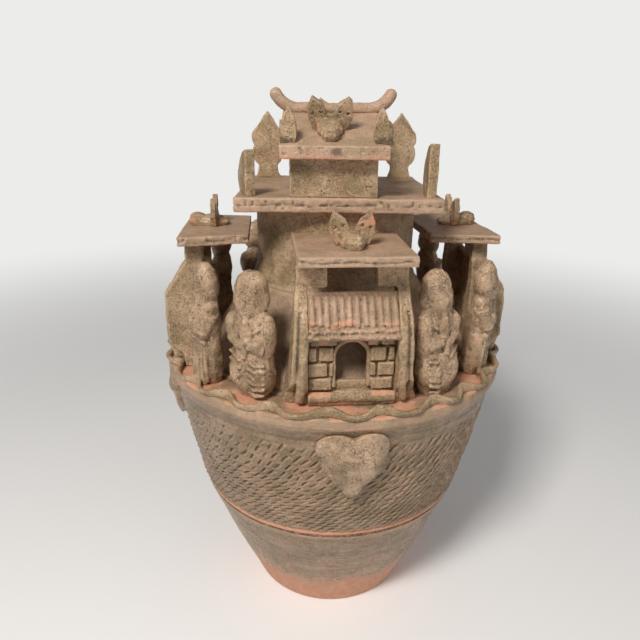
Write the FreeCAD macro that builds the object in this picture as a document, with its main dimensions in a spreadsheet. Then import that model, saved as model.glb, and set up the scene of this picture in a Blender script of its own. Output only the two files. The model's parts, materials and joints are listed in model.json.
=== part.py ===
"""A lidded hunping, the jar that stood in a tomb of about AD 300, with its towers, figures and doves.

Millimetres. +Z is up, the jar's axis is Z, and the front tower faces -Y. The origin is the middle of
the foot. Every piece of clay that was made on its own is a sub-part: the thrown jar in three pieces,
the slabs and strips of four gate towers, eight figures, four bosses, and the lid with its pavilion.
The pieces are luted face to face, so each one is cut to the surface that carries it. The lid, with
its locating ring in the neck, lifts straight off.
"""
import FreeCAD
import Part

import math
import os

import Sketcher

OUT = "parts"

# Driving dimensions: millimetres, degrees and counts
SIZES = {
    # thrown jar
    "foot_radius": 71.0,
    "foot_recess_radius": 58.0,
    "foot_recess_depth": 2.5,
    "floor_thickness": 9.0,
    "jar_wall": 8.0,
    "band_height": 109.5,
    "band_radius": 116.5,
    "belly_swell": 1.2,
    "groove_depth": 1.4,
    "groove_pitch": 4.2,
    "collar_height": 211.0,
    "collar_radius": 138.4,
    "seam_height": 222.5,
    "rim_radius": 144.0,
    # shoulder and neck
    "lip_height": 3.5,
    "lip_inset": 2.0,
    "ledge_inner_radius": 116.0,
    "ledge_height": 230.0,
    "ledge_fillet": 7.0,
    "shoulder_wall": 6.5,
    "neck_foot_radius": 70.0,
    "neck_foot_height": 294.0,
    "neck_radius": 65.0,
    "neck_wall": 7.0,
    "neck_flare_height": 16.0,
    "neck_top_height": 357.0,
    # frill on the ledge
    "frill_radius": 140.3,
    "frill_wave": 4.2,
    "frill_count": 24,
    "frill_points": 6,
    "frill_thickness": 3.4,
    "frill_stand": 7.0,
    # heart-shaped bosses
    "boss_top_height": 219.0,
    "boss_tall": 63.0,
    "boss_width": 53.0,
    "boss_proud": 10.0,
    "boss_bed": 12.0,
    "boss_lean": 12.0,
    # gate towers
    "gate_half_width": 31.0,
    "window_half_width": 17.2,
    "post_top_half_width": 37.8,
    "post_waist_half_width": 42.4,
    "post_waist_height": 262.0,
    "post_foot_half_width": 48.5,
    "post_foot_rise": 2.0,
    "post_back_radius": 98.0,
    "post_top_radius": 110.5,
    "post_neck_height": 315.0,
    "post_knee_radius": 127.5,
    "post_knee_top": 290.0,
    "post_knee_foot": 250.0,
    "post_foot_radius": 122.5,
    "post_foot_height": 239.0,
    "foot_round_radius": 123.5,
    "foot_round_step": 10.0,
    "side_gate_shift": 10.0,
    "tile_top_radius": 112.0,
    "tile_top_height": 311.5,
    "eave_radius": 129.0,
    "eave_height": 282.5,
    "tile_thickness": 4.5,
    "tile_rib_radius": 2.2,
    "tile_rib_count": 11,
    "tile_edge": 1.6,
    "wall_face_radius": 118.0,
    "wall_thickness": 6.0,
    "brick_proud": 1.6,
    "brick_courses": 4,
    "brick_joint": 1.6,
    "brick_top_height": 279.0,
    "arch_half_width": 11.0,
    "arch_spring_height": 266.0,
    "arch_foot_height": 246.5,
    "arch_band": 2.6,
    "sill_height": 240.5,
    "tower_roof_height": 333.5,
    "tower_roof_thickness": 7.0,
    "main_roof_width": 80.0,
    "main_roof_reach": 135.0,
    "main_roof_taper": 1.5,
    "side_roof_width": 106.0,
    "side_roof_reach": 124.0,
    "side_roof_inner_width": 86.0,
    "side_roof_inner_radius": 71.0,
    "side_roof_drop": 4.5,
    # figures
    "figure_bed": 0.9,
    "figure_tall": 93.0,
    "figure_half_width": 17.6,
    "figure_half_depth": 9.6,
    # doves
    "dove_seat_radius": 103.0,
    "dove_length": 34.0,
    "dove_body_width": 18.0,
    "dove_body_tall": 9.0,
    "dove_wing_tall": 23.0,
    "dove_wing_width": 13.5,
    "dove_wing_thickness": 4.2,
    "dove_wing_splay": 14.0,
    "dove_wing_spacing": 13.0,
    "dove_eye_radius": 1.2,
    # lid
    "lid_turn": -4.6,
    "seat_gap": 0.3,
    "platform_side": 150.0,
    "platform_thickness": 10.5,
    "ring_clearance": 1.5,
    "ring_wall": 7.0,
    "ring_depth": 10.0,
    "ring_bevel": 1.0,
    "ring_bevel_tall": 2.0,
    "vent_radius": 5.0,
    "pavilion_offset": -4.0,
    "pavilion_width": 62.0,
    "pavilion_depth": 83.0,
    "pavilion_front_inset": 4.0,
    "pavilion_wall": 6.0,
    "soffit_height": 26.5,
    "roof_side_overhang": 6.5,
    "roof_front_overhang": 11.5,
    "roof_thickness": 9.0,
    "roof_rise": 22.5,
    "ridge_radius": 4.6,
    "ridge_stand": 1.0,
    "ridge_half_length": 25.0,
    "horn_bend": 20.0,
    "horn_turn": 60.0,
    "roof_dove_inset": 20.5,
    "roof_dove_offset": 3.0,
    "finial_tall": 25.0,
    "finial_width": 10.5,
    "finial_thickness": 5.5,
    "finial_side_inset": 6.2,
    "finial_front_inset": 6.0,
    # slabs at the corners of the lid
    "fin_thickness": 7.0,
    "front_fin_long": 27.0,
    "left_front_fin_tall": 32.0,
    "right_front_fin_tall": 37.5,
    "front_fin_reach": 67.0,
    "front_fin_setback": 54.5,
    "left_front_fin_swing": 18.0,
    "right_front_fin_swing": -3.0,
    "back_fin_wide": 27.0,
    "back_fin_tall": 57.0,
    "back_fin_reach": 60.0,
    "back_fin_setback": 63.0,
    "back_fin_swing": 4.0,
}

# Where the towers stand, as turns about the jar's axis
SIDES = {"front": 0.0, "right": 90.0, "back": 180.0, "left": 270.0}

# Where each figure stands: its turn about the jar's axis, how far out its foot is, and its lean inwards
FIGURES = {
    "front_right_piper": (32.5, 122.5, 5.0),
    "front_right_attendant": (56.6, 125.5, -3.0),
    "back_right_piper": (146.0, 121.0, 3.0),
    "back_right_attendant": (124.5, 124.5, 1.0),
    "back_left_piper": (213.5, 121.5, 2.0),
    "back_left_attendant": (236.0, 124.0, 2.0),
    "front_left_piper": (325.0, 120.5, 1.0),
    "front_left_attendant": (305.2, 125.0, 0.0),
}


class Size:
    """A size as a number, and as the formula over the sheet that the document keeps."""

    def __init__(self, value, formula):
        self.value = float(value)
        self.formula = formula

    def joined(self, other, sign, value):
        return Size(value, f"({self.formula} {sign} {formula_of(other)})")

    def __add__(self, other):
        return self.joined(other, "+", self.value + number_of(other))

    def __sub__(self, other):
        return self.joined(other, "-", self.value - number_of(other))

    def __mul__(self, other):
        return self.joined(other, "*", self.value * number_of(other))

    def __truediv__(self, other):
        return self.joined(other, "/", self.value / number_of(other))

    def __neg__(self):
        return self * -1


def number_of(size):
    return size.value if isinstance(size, Size) else float(size)


def formula_of(size):
    return size.formula if isinstance(size, Size) else f"({float(size)!r})"


class Sheet:
    """The driving dimensions in the document: an alias gives the Size of its cell."""

    def __init__(self, document):
        self.cells = document.addObject("Spreadsheet::Sheet", "Sizes")
        for row, (name, value) in enumerate(SIZES.items(), start=1):
            self.cells.set(f"A{row}", name)
            self.cells.set(f"B{row}", repr(value))
            self.cells.setAlias(f"B{row}", name)
        document.recompute()

    def __getattr__(self, name):
        return Size(self.cells.get(name), f"Sizes.{name}")


doc = FreeCAD.newDocument("Hunping")
p = Sheet(doc)
nodes = []

X_AXIS = FreeCAD.Vector(1, 0, 0)
Y_AXIS = FreeCAD.Vector(0, 1, 0)
Z_AXIS = FreeCAD.Vector(0, 0, 1)


# Helpers

def keep(thing, label):
    """Names a finished sub-part and lists it for export."""
    thing.Label = label
    nodes.append(thing)
    return thing


def bind(thing, **sizes):
    """Sets properties to sizes, and binds those that come from the sheet."""
    for name, size in sizes.items():
        setattr(thing, name, number_of(size))
        if isinstance(size, Size):
            thing.setExpression(name, size.formula)
    return thing


def placed(thing, x=0, y=0, z=0, turn=0, tilt=0, lean=0, swing=0):
    """Tilts a piece about X, leans it about Y, swings it about Z, moves it, then turns it about the axis."""
    stance = FreeCAD.Rotation(Z_AXIS, number_of(swing))
    stance = stance * FreeCAD.Rotation(Y_AXIS, number_of(lean)) * FreeCAD.Rotation(X_AXIS, number_of(tilt))
    spot = FreeCAD.Vector(number_of(x), number_of(y), number_of(z))
    about_axis = FreeCAD.Placement(FreeCAD.Vector(), FreeCAD.Rotation(Z_AXIS, number_of(turn)))
    thing.Placement = about_axis * FreeCAD.Placement(spot, stance)
    if not number_of(turn):
        for axis, size in (("x", x), ("y", y), ("z", z)):
            if isinstance(size, Size):
                thing.setExpression(f"Placement.Base.{axis}", size.formula)
    return thing


def primitive(kind, name, **sizes):
    return bind(doc.addObject(f"Part::{kind}", name), **sizes)


def cut(base, tool, name):
    made = doc.addObject("Part::Cut", name)
    made.Base = base
    made.Tool = tool
    return made


def common(one, other, name):
    made = doc.addObject("Part::Common", name)
    made.Base = one
    made.Tool = other
    return made


def fused(pieces, name):
    made = doc.addObject("Part::MultiFuse", name)
    made.Shapes = pieces
    return made


def sketch(body, plane, name):
    """A sketch on one of the body's own planes: XY_Plane, XZ_Plane or YZ_Plane."""
    drawn = body.newObject("Sketcher::SketchObject", name)
    own = [feature for feature in body.Origin.OriginFeatures if feature.Role == plane][0]
    drawn.AttachmentSupport = [(own, "")]
    drawn.MapMode = "FlatFace"
    return drawn


def constrain(drawn, kind, geometry, end, size):
    """Ties a point of an edge to the sketch's origin along X or Y."""
    if number_of(size) == 0:
        axis = -2 if kind == "DistanceX" else -1
        drawn.addConstraint(Sketcher.Constraint("PointOnObject", geometry, end, axis))
        return
    index = drawn.addConstraint(Sketcher.Constraint(kind, -1, 1, geometry, end, number_of(size)))
    if isinstance(size, Size):
        drawn.setExpression(f"Constraints[{index}]", size.formula)


def set_radius(drawn, geometry, size):
    index = drawn.addConstraint(Sketcher.Constraint("Radius", geometry, number_of(size)))
    if isinstance(size, Size):
        drawn.setExpression(f"Constraints[{index}]", size.formula)


def arc_between(start, end, radius):
    """The shorter arc from start to end, with its centre on the left where the radius is positive."""
    size = abs(radius)
    chord = end - start
    left = FreeCAD.Vector(-chord.y, chord.x, 0).normalize()
    reach = math.sqrt(max(size * size - chord.Length ** 2 / 4, 0.0))
    centre = (start + end) * 0.5 + left * math.copysign(reach, radius)
    first, last = (start, end) if radius > 0 else (end, start)
    angles = [math.atan2(spot.y - centre.y, spot.x - centre.x) for spot in (first, last)]
    return Part.ArcOfCircle(Part.Circle(centre, Z_AXIS, size), *angles)


def outline(drawn, corners):
    """Draws one closed outline. A corner is (x, y), or (x, y, radius) where an arc leads to it."""
    spots = [FreeCAD.Vector(number_of(corner[0]), number_of(corner[1]), 0) for corner in corners]
    edges = []
    for number, corner in enumerate(corners):
        start, end = spots[number - 1], spots[number]
        if len(corner) == 2:
            edges.append((drawn.addGeometry(Part.LineSegment(start, end)), 1, 2))
            continue
        radius = number_of(corner[2])
        ends = (1, 2) if radius > 0 else (2, 1)
        edge = drawn.addGeometry(arc_between(start, end, radius))
        set_radius(drawn, edge, corner[2] if radius > 0 else -corner[2])
        edges.append((edge, *ends))
    for number, (edge, start, end) in enumerate(edges):
        following, its_start, _ = edges[(number + 1) % len(edges)]
        drawn.addConstraint(Sketcher.Constraint("Coincident", edge, end, following, its_start))
        constrain(drawn, "DistanceX", edge, end, corners[number][0])
        constrain(drawn, "DistanceY", edge, end, corners[number][1])
    return drawn


def rectangle(drawn, low_x, high_x, low_y, high_y):
    return outline(drawn, [(low_x, low_y), (high_x, low_y), (high_x, high_y), (low_x, high_y)])


def circle(drawn, x, y, radius):
    spot = FreeCAD.Vector(number_of(x), number_of(y), 0)
    ring = drawn.addGeometry(Part.Circle(spot, Z_AXIS, number_of(radius)))
    constrain(drawn, "DistanceX", ring, 3, x)
    constrain(drawn, "DistanceY", ring, 3, y)
    set_radius(drawn, ring, radius)


def turned(name, corners):
    """A body turned on the wheel: its half section, revolved about the Z axis."""
    body = doc.addObject("PartDesign::Body", name)
    section = outline(sketch(body, "XZ_Plane", name + "_section"), corners)
    spun = body.newObject("PartDesign::Revolution", name + "_turned")
    spun.Profile = section
    spun.ReferenceAxis = (section, ["V_Axis"])
    spun.Angle = 360
    return body


def pad_on(body, drawn, length, side="One side"):
    pad = body.newObject("PartDesign::Pad", drawn.Name + "_pad")
    pad.Profile = drawn
    pad.SideType = side
    return bind(pad, Length=length)


def slab(name, plane, corners, length, side="One side"):
    """A rolled slab: its outline on one of its own planes, and its thickness."""
    body = doc.addObject("PartDesign::Body", name)
    pad_on(body, outline(sketch(body, plane, name + "_outline"), corners), length, side)
    return body


def pocket_through(body, drawn):
    """Cuts a sketch through the whole of its body, both ways."""
    hole = body.newObject("PartDesign::Pocket", drawn.Name + "_pocket")
    hole.Profile = drawn
    hole.Type = "ThroughAll"
    hole.SideType = "Symmetric"
    return hole


def arch(half, foot, spring):
    """The outline of a round-headed opening."""
    return [
        (half, foot),
        (half, spring),
        (0, spring + half, half),
        (-half, spring, half),
        (-half, foot),
    ]


# Thrown jar

def jar_outside():
    """The lower jar as a solid: splayed foot, nearly straight belly, collar flaring to the rim."""
    climb = (p.collar_radius - p.band_radius) / (p.collar_height - p.band_height)
    grooves = []
    for number in range(2):
        low = p.band_height + p.groove_pitch * number
        for rise, depth in ((0, 0), (p.groove_pitch * 0.35, p.groove_depth), (p.groove_pitch * 0.7, 0)):
            grooves.append((p.band_radius + climb * (low + rise - p.band_height) - depth, low + rise))
    return turned("jar_outside", [
        (0, 0),
        (p.foot_radius, 0),
        ((p.foot_radius + p.band_radius) / 2 + p.belly_swell, p.band_height / 2),
        *grooves,
        ((p.band_radius + p.collar_radius) / 2 + p.belly_swell, (p.band_height + p.collar_height) / 2),
        (p.collar_radius, p.collar_height),
        (p.rim_radius, p.seam_height),
        (0, p.seam_height),
    ])


def jar_inside():
    """The hollow of the lower jar: its outside, less the wall."""
    climb = p.floor_thickness / p.band_height
    inner_foot = p.foot_radius - p.jar_wall + (p.band_radius - p.foot_radius) * climb
    return turned("jar_inside", [
        (0, p.floor_thickness),
        (inner_foot, p.floor_thickness),
        (p.band_radius - p.jar_wall, p.band_height),
        (p.collar_radius - p.jar_wall, p.collar_height),
        (p.rim_radius - p.jar_wall, p.seam_height),
        (0, p.seam_height),
    ])


def make_jar():
    outside = jar_outside()
    recess = primitive("Cylinder", "foot_recess", Radius=p.foot_recess_radius, Height=p.foot_recess_depth)
    hollows = fused([jar_inside(), recess], "jar_hollows")
    keep(cut(outside, hollows, "jar_shell"), "jar_body")
    return outside


# Shoulder and neck

def shoulder_outside():
    """The shoulder as a solid: rounded lip, flat ledge, and the cone that climbs to the neck."""
    return turned("shoulder_outside", [
        (0, p.seam_height),
        (p.rim_radius, p.seam_height),
        (p.rim_radius, p.seam_height + p.lip_height),
        (p.rim_radius - p.lip_inset, p.ledge_height),
        (p.ledge_inner_radius, p.ledge_height),
        (p.ledge_inner_radius - p.ledge_fillet * 0.6, p.ledge_height + p.ledge_fillet * 0.3),
        (p.ledge_inner_radius - p.ledge_fillet, p.ledge_height + p.ledge_fillet),
        (p.neck_foot_radius, p.neck_foot_height),
        (0, p.neck_foot_height),
    ])


def shoulder_inside():
    """The hollow under the ledge and the cone."""
    wall = p.shoulder_wall
    return turned("shoulder_inside", [
        (0, p.seam_height),
        (p.rim_radius - p.jar_wall, p.seam_height),
        (p.ledge_inner_radius - wall * 0.5, p.ledge_height - wall),
        (p.ledge_inner_radius - p.ledge_fillet - wall, p.ledge_height + p.ledge_fillet),
        (p.neck_foot_radius - p.neck_wall, p.neck_foot_height),
        (0, p.neck_foot_height),
    ])


def make_shoulder():
    outside = shoulder_outside()
    keep(cut(outside, shoulder_inside(), "shoulder_shell"), "shoulder")
    return outside


def make_neck():
    flare_top = p.neck_foot_height + p.neck_flare_height
    inner = p.neck_radius - p.neck_wall
    keep(turned("neck_tube", [
        (p.neck_foot_radius - p.neck_wall, p.neck_foot_height),
        (p.neck_foot_radius, p.neck_foot_height),
        (p.neck_radius, flare_top),
        (p.neck_radius, p.neck_top_height),
        (inner, p.neck_top_height),
        (inner, flare_top),
    ]), "neck")


def frill_wire(offset):
    """One side of the frill: a closed wave round the jar, in short straight steps."""
    count = int(number_of(p.frill_count))
    steps = count * int(number_of(p.frill_points))
    points = []
    for step in range(steps + 1):
        angle = 2 * math.pi * (step % steps) / steps
        reach = number_of(p.frill_radius) + offset + number_of(p.frill_wave) * math.cos(count * angle)
        points.append(FreeCAD.Vector(reach * math.cos(angle), reach * math.sin(angle), 0))
    return Part.makePolygon(points)


def make_frill():
    """The pinched strip on the ledge. It stands on edge, and its wave runs in and out round the jar."""
    half = number_of(p.frill_thickness) / 2
    sides = []
    for name, offset in (("frill_outside", half), ("frill_inside", -half)):
        side = doc.addObject("Part::Feature", name)
        side.Shape = Part.Face(frill_wire(offset)).extrude(Z_AXIS * number_of(p.frill_stand))
        sides.append(side)
    keep(placed(cut(*sides, "frill_ribbon"), z=p.ledge_height), "frill")


# Bosses on the jar's side

def make_bosses(seat):
    """Heart-shaped bosses under the towers: a heart outline, domed by an ellipsoid bedded in the wall."""
    half = p.boss_width / 2
    cheek = p.boss_top_height - p.boss_width * 0.33
    lobe = p.boss_width * 0.27
    flank = p.boss_tall * 3.2
    heart = slab("boss_heart", "XZ_Plane", [
        (half, cheek, flank),
        (half * 0.47, p.boss_top_height, lobe),
        (0, p.boss_top_height - p.boss_width * 0.08, lobe * 1.3),
        (-(half * 0.47), p.boss_top_height, lobe * 1.3),
        (-half, cheek, lobe),
        (0, p.boss_top_height - p.boss_tall, flank),
    ], p.rim_radius + p.boss_proud)
    dome = primitive("Ellipsoid", "boss_dome", Radius1=p.boss_tall * 0.8, Radius2=p.boss_width * 0.8,
                     Radius3=p.boss_bed + p.boss_proud)
    middle = p.boss_top_height - p.boss_tall * 0.4
    wall_slope = (p.collar_radius - p.band_radius) / (p.collar_height - p.band_height)
    wall_there = p.collar_radius - (p.collar_height - middle) * wall_slope
    placed(dome, y=p.boss_bed - wall_there, z=middle, tilt=p.boss_lean)
    domed = common(heart, dome, "boss_domed")
    for side, turn in SIDES.items():
        keep(placed(cut(domed, seat, f"boss_{side}_seated"), turn=turn), f"heart_boss_{side}")


# Gate towers

def post_blank(kind, side, foot_round, roof_height):
    """One side of a gate: its outline from the front, and from the side, in one piece of clay."""
    name = f"{kind}_{'left' if side < 0 else 'right'}_post"
    step = p.tile_top_height + p.tile_rib_radius
    front = slab(f"{name}_front", "XZ_Plane", [
        (p.gate_half_width * side, p.seam_height),
        (p.post_foot_half_width * side, p.seam_height),
        (p.post_foot_half_width * side, p.ledge_height + p.post_foot_rise),
        (p.post_waist_half_width * side, p.post_waist_height, p.post_waist_height * -0.3 * side),
        (p.post_top_half_width * side, roof_height),
        (p.window_half_width * side, roof_height),
        (p.window_half_width * side, step),
        (p.gate_half_width * side, step),
    ], p.rim_radius)
    profile = slab(f"{name}_side", "YZ_Plane", [
        (-p.post_foot_radius, p.seam_height),
        (-p.post_foot_radius, p.post_foot_height),
        (-p.post_knee_radius, p.post_knee_foot),
        (-p.post_knee_radius, p.post_knee_top),
        (-p.post_top_radius, p.post_neck_height),
        (-p.post_top_radius, roof_height),
        (-p.post_back_radius, roof_height),
        (-p.post_back_radius, p.seam_height),
    ], p.post_foot_half_width * 3, "Symmetric")
    crossed = common(front, profile, f"{name}_crossed")
    return common(crossed, foot_round, f"{name}_blank")


def tile_slope():
    """How steep a gate's tiled roof is, in degrees, and how long it is from top to eave."""
    run = number_of(p.eave_radius) - number_of(p.tile_top_radius)
    drop = number_of(p.tile_top_height) - number_of(p.eave_height)
    return math.degrees(math.atan2(drop, run)), math.hypot(run, drop)


def tile_roof(name):
    """The ribbed roof over a gate: a plate with rows of half-round tiles, lying flat towards -Y."""
    _, length = tile_slope()
    plate = slab(name, "XZ_Plane", [
        (-p.gate_half_width, -p.tile_thickness),
        (p.gate_half_width, -p.tile_thickness),
        (p.gate_half_width, 0),
        (-p.gate_half_width, 0),
    ], length)
    outermost = p.gate_half_width - p.tile_edge - p.tile_rib_radius
    rows = sketch(plate, "XZ_Plane", name + "_first_row")
    round_share = math.sqrt(0.5)
    outline(rows, [
        (-outermost - p.tile_rib_radius, -(p.tile_thickness / 2)),
        (-outermost + p.tile_rib_radius, -(p.tile_thickness / 2)),
        (-outermost + p.tile_rib_radius, 0),
        (-outermost + p.tile_rib_radius * round_share, p.tile_rib_radius * round_share),
        (-outermost, p.tile_rib_radius),
        (-outermost - p.tile_rib_radius * round_share, p.tile_rib_radius * round_share),
        (-outermost - p.tile_rib_radius, 0),
    ])
    row = pad_on(plate, rows, length)
    pattern = plate.newObject("PartDesign::LinearPattern", name + "_rows")
    pattern.Originals = [row]
    pattern.Direction = (rows, ["H_Axis"])
    bind(pattern, Length=outermost * 2)
    pattern.Occurrences = int(number_of(p.tile_rib_count))
    plate.Tip = pattern
    return plate


def bricks():
    """The bricks of one half of a gate's front, as near edge, far edge, low and high."""
    courses = int(number_of(p.brick_courses))
    pitch = (p.brick_top_height - p.sill_height) / courses
    near = p.arch_half_width + p.arch_band + p.brick_joint * 0.5
    far = p.gate_half_width - p.brick_joint
    for course in range(courses):
        low = p.sill_height + pitch * course + p.brick_joint / 2
        high = p.sill_height + pitch * (course + 1) - p.brick_joint / 2
        split = near + (far - near) * (0.66 if course % 2 else 0.34)
        yield near, split - p.brick_joint / 2, low, high
        yield split + p.brick_joint / 2, far, low, high


def wall_blank(kind):
    """The brick front of a gate: a slab under the tiles, an arched doorway, raised bricks and arch band."""
    slope = math.radians(tile_slope()[0])
    inner_radius = p.wall_face_radius - p.wall_thickness
    under = p.tile_top_height - number_of(p.tile_thickness) / math.cos(slope)
    top_front = under - (p.wall_face_radius - p.tile_top_radius) * math.tan(slope)
    top_back = under - (inner_radius - p.tile_top_radius) * math.tan(slope)
    wall = slab(f"{kind}_wall_slab", "YZ_Plane", [
        (-p.wall_face_radius, p.seam_height),
        (-inner_radius, p.seam_height),
        (-inner_radius, top_back),
        (-p.wall_face_radius, top_front),
    ], p.gate_half_width * 2, "Symmetric")
    relief = sketch(wall, "XZ_Plane", f"{kind}_wall_relief")
    outline(relief, arch(p.arch_half_width + p.arch_band, p.arch_foot_height, p.arch_spring_height))
    for near, far, low, high in bricks():
        rectangle(relief, near, far, low, high)
        rectangle(relief, -far, -near, low, high)
    pad_on(wall, relief, p.wall_face_radius + p.brick_proud)
    doorway = sketch(wall, "XZ_Plane", f"{kind}_doorway")
    outline(doorway, arch(p.arch_half_width, p.arch_foot_height, p.arch_spring_height))
    pocket_through(wall, doorway)
    front_half = primitive("Box", f"{kind}_wall_front", Length=p.gate_half_width * 2, Width=p.rim_radius,
                           Height=p.tower_roof_height)
    placed(front_half, x=-p.gate_half_width, y=-p.rim_radius - inner_radius)
    return common(wall, front_half, f"{kind}_wall_blank")


def sill_blank(kind, foot_round):
    """The step under a gate's brick wall, between the feet of its posts."""
    depth = p.post_foot_radius - p.wall_face_radius - p.brick_proud
    bar = primitive("Box", f"{kind}_sill_bar", Length=p.gate_half_width * 2, Width=depth,
                    Height=p.sill_height - p.seam_height)
    placed(bar, x=-p.gate_half_width, y=-p.post_foot_radius, z=p.seam_height)
    return common(bar, foot_round, f"{kind}_sill_blank")


def gate_clay(kind, shift, roof_height):
    """The clay of a gate before it is seated, by name. A side gate stands further out, by the shift."""
    reach = p.foot_round_radius + shift
    foot_round = placed(turned(f"{kind}_foot_round", [
        (0, p.seam_height),
        (reach, p.seam_height),
        (reach, p.post_foot_height),
        (reach + p.foot_round_step, p.post_knee_foot),
        (reach + p.foot_round_step, p.neck_top_height),
        (0, p.neck_top_height),
    ]), y=shift)
    clay = {
        "tower_left_post": post_blank(kind, -1, foot_round, roof_height),
        "tower_right_post": post_blank(kind, 1, foot_round, roof_height),
        "gate_wall": wall_blank(kind),
        "gate_sill": sill_blank(kind, foot_round),
    }
    for blank in clay.values():
        placed(blank, y=-shift)
    return clay


def main_roof(name):
    """The flat slab on the front and back towers, from the neck outwards and a little narrower there."""
    half = p.main_roof_width / 2
    plate = slab(name, "XY_Plane", [
        (-half, 0),
        (-half + p.main_roof_taper, -p.main_roof_reach),
        (half - p.main_roof_taper, -p.main_roof_reach),
        (half, 0),
    ], p.tower_roof_thickness)
    neck_round = primitive("Cylinder", f"{name}_neck_round", Radius=p.neck_radius, Height=p.neck_top_height)
    return cut(placed(plate, z=p.tower_roof_height), neck_round, f"{name}_seated")


def side_roof(name):
    """The flat slab on a side tower. It stands clear of the neck, is lower, and widens outwards."""
    inner = p.side_roof_inner_width / 2
    outer = p.side_roof_width / 2
    return placed(slab(name, "XY_Plane", [
        (-inner, -p.side_roof_inner_radius),
        (-outer, -p.side_roof_reach),
        (outer, -p.side_roof_reach),
        (inner, -p.side_roof_inner_radius),
    ], p.tower_roof_thickness), z=p.tower_roof_height - p.side_roof_drop)


def make_towers(seat):
    kinds = {
        "main": (p.side_gate_shift * 0, p.tower_roof_height),
        "side": (p.side_gate_shift, p.tower_roof_height - p.side_roof_drop),
    }
    clay = {kind: gate_clay(kind, *sizes) for kind, sizes in kinds.items()}
    slope, _ = tile_slope()
    for side, turn in SIDES.items():
        kind = "main" if side in ("front", "back") else "side"
        shift, roof_height = kinds[kind]
        for piece, blank in clay[kind].items():
            keep(placed(cut(blank, seat, f"{side}_{piece}_seated"), turn=turn), f"{side}_{piece}")
        tiles = tile_roof(f"{side}_tiles")
        placed(tiles, y=-(p.tile_top_radius + shift), z=p.tile_top_height, tilt=slope, turn=turn)
        keep(tiles, f"{side}_gate_tiles")
        roof = main_roof(f"{side}_roof") if kind == "main" else side_roof(f"{side}_roof")
        if kind == "main":
            keep(placed(roof, turn=turn), f"{side}_tower_roof")
        else:
            keep(placed(roof, z=roof_height, turn=turn), f"{side}_tower_roof")
        perch = roof_height + p.tower_roof_thickness
        keep(placed(dove_clay(f"{side}_dove"), y=-p.dove_seat_radius, z=perch, turn=turn), f"{side}_tower_dove")


# Figures

def lofted(name, stations):
    """Clay lofted through level eight-sided rings. A station is height, x, y, half width, half depth."""
    rings = []
    for number, (height, x, y, wide, deep) in enumerate(stations):
        ring = doc.addObject("Sketcher::SketchObject", f"{name}_ring_{number}")
        outline(ring, [
            (wide, -deep * 0.42),
            (wide, deep * 0.42),
            (wide * 0.55, deep),
            (-wide * 0.55, deep),
            (-wide, deep * 0.42),
            (-wide, -deep * 0.42),
            (-wide * 0.55, -deep),
            (wide * 0.55, -deep),
        ])
        rings.append(placed(ring, x=x, y=y, z=height))
    made = doc.addObject("Part::Loft", name)
    made.Sections = rings
    made.Solid = True
    made.Ruled = True
    return made


def figure_part(name, shares):
    """A part of a figure, lofted: the stations are shares of its height, half width and half depth."""
    return lofted(name, [
        (p.figure_tall * height, p.figure_half_width * x, p.figure_half_depth * y,
         p.figure_half_width * wide, p.figure_half_depth * deep)
        for height, x, y, wide, deep in shares
    ])


def piper_clay():
    """A kneeling piper: cap, round head, arms bent to a pipe, and a broad lap that narrows to the feet."""
    body = figure_part("piper_body", [
        (0.00, 0, 0, 0.66, 0.72),
        (0.08, 0, 0, 0.88, 0.94),
        (0.21, 0, 0, 1.00, 1.00),
        (0.34, 0, 0, 0.90, 0.90),
        (0.46, 0, 0, 0.82, 0.80),
        (0.61, 0, 0, 0.88, 0.84),
        (0.70, 0, 0, 0.74, 0.68),
        (0.74, 0, 0, 0.58, 0.58),
        (0.80, 0, 0, 0.72, 0.78),
        (0.88, 0, 0, 0.74, 0.80),
        (0.95, 0, 0, 0.54, 0.62),
        (1.00, 0, 0, 0.24, 0.30),
    ])
    arms = [
        figure_part(f"piper_{hand}_arm", [
            (0.40, 0.62 * side, -0.3, 0.18, 0.28),
            (0.47, 0.56 * side, -0.6, 0.26, 0.44),
            (0.66, 0.72 * side, 0.0, 0.24, 0.40),
        ])
        for hand, side in (("left", -1), ("right", 1))
    ]
    pipe = figure_part("piper_pipe", [
        (0.46, 0, -0.9, 0.14, 0.24),
        (0.56, 0, -0.8, 0.36, 0.30),
        (0.62, 0, -0.8, 0.14, 0.24),
        (0.78, 0, -0.7, 0.12, 0.20),
    ])
    return fused([body, *arms, pipe], "piper_clay")


def attendant_clay():
    """A slim attendant on its knees, in a hood, with its hands clasped in wide sleeves."""
    body = figure_part("attendant_body", [
        (0.00, 0, 0, 0.52, 0.66),
        (0.08, 0, 0, 0.66, 0.86),
        (0.24, 0, 0, 0.70, 0.92),
        (0.38, 0, 0, 0.58, 0.74),
        (0.56, 0, 0, 0.68, 0.78),
        (0.67, 0, 0, 0.62, 0.66),
        (0.73, 0, 0, 0.46, 0.56),
        (0.80, 0, 0, 0.62, 0.78),
        (0.88, 0, 0, 0.60, 0.78),
        (0.95, 0, 0, 0.42, 0.56),
        (1.00, 0, 0, 0.18, 0.26),
    ])
    sleeves = figure_part("attendant_sleeves", [
        (0.34, 0, -0.5, 0.20, 0.30),
        (0.42, 0, -0.5, 0.52, 0.46),
        (0.54, 0, -0.5, 0.62, 0.50),
        (0.62, 0, -0.3, 0.58, 0.44),
    ])
    return fused([body, sleeves], "attendant_clay")


def make_figures(seat):
    """Eight figures on the ledge, a pair between each two towers, each a little differently placed."""
    clay = {"piper": piper_clay(), "attendant": attendant_clay()}
    for name, (turn, radius, lean) in FIGURES.items():
        blank = doc.addObject("App::Link", f"{name}_clay")
        blank.LinkedObject = clay[name.rsplit("_", 1)[1]]
        blank.LinkTransform = True
        placed(blank, y=-radius, z=p.ledge_height - p.figure_bed, tilt=-lean)
        keep(placed(cut(blank, seat, f"{name}_seated"), turn=turn), name)


# Doves

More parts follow.
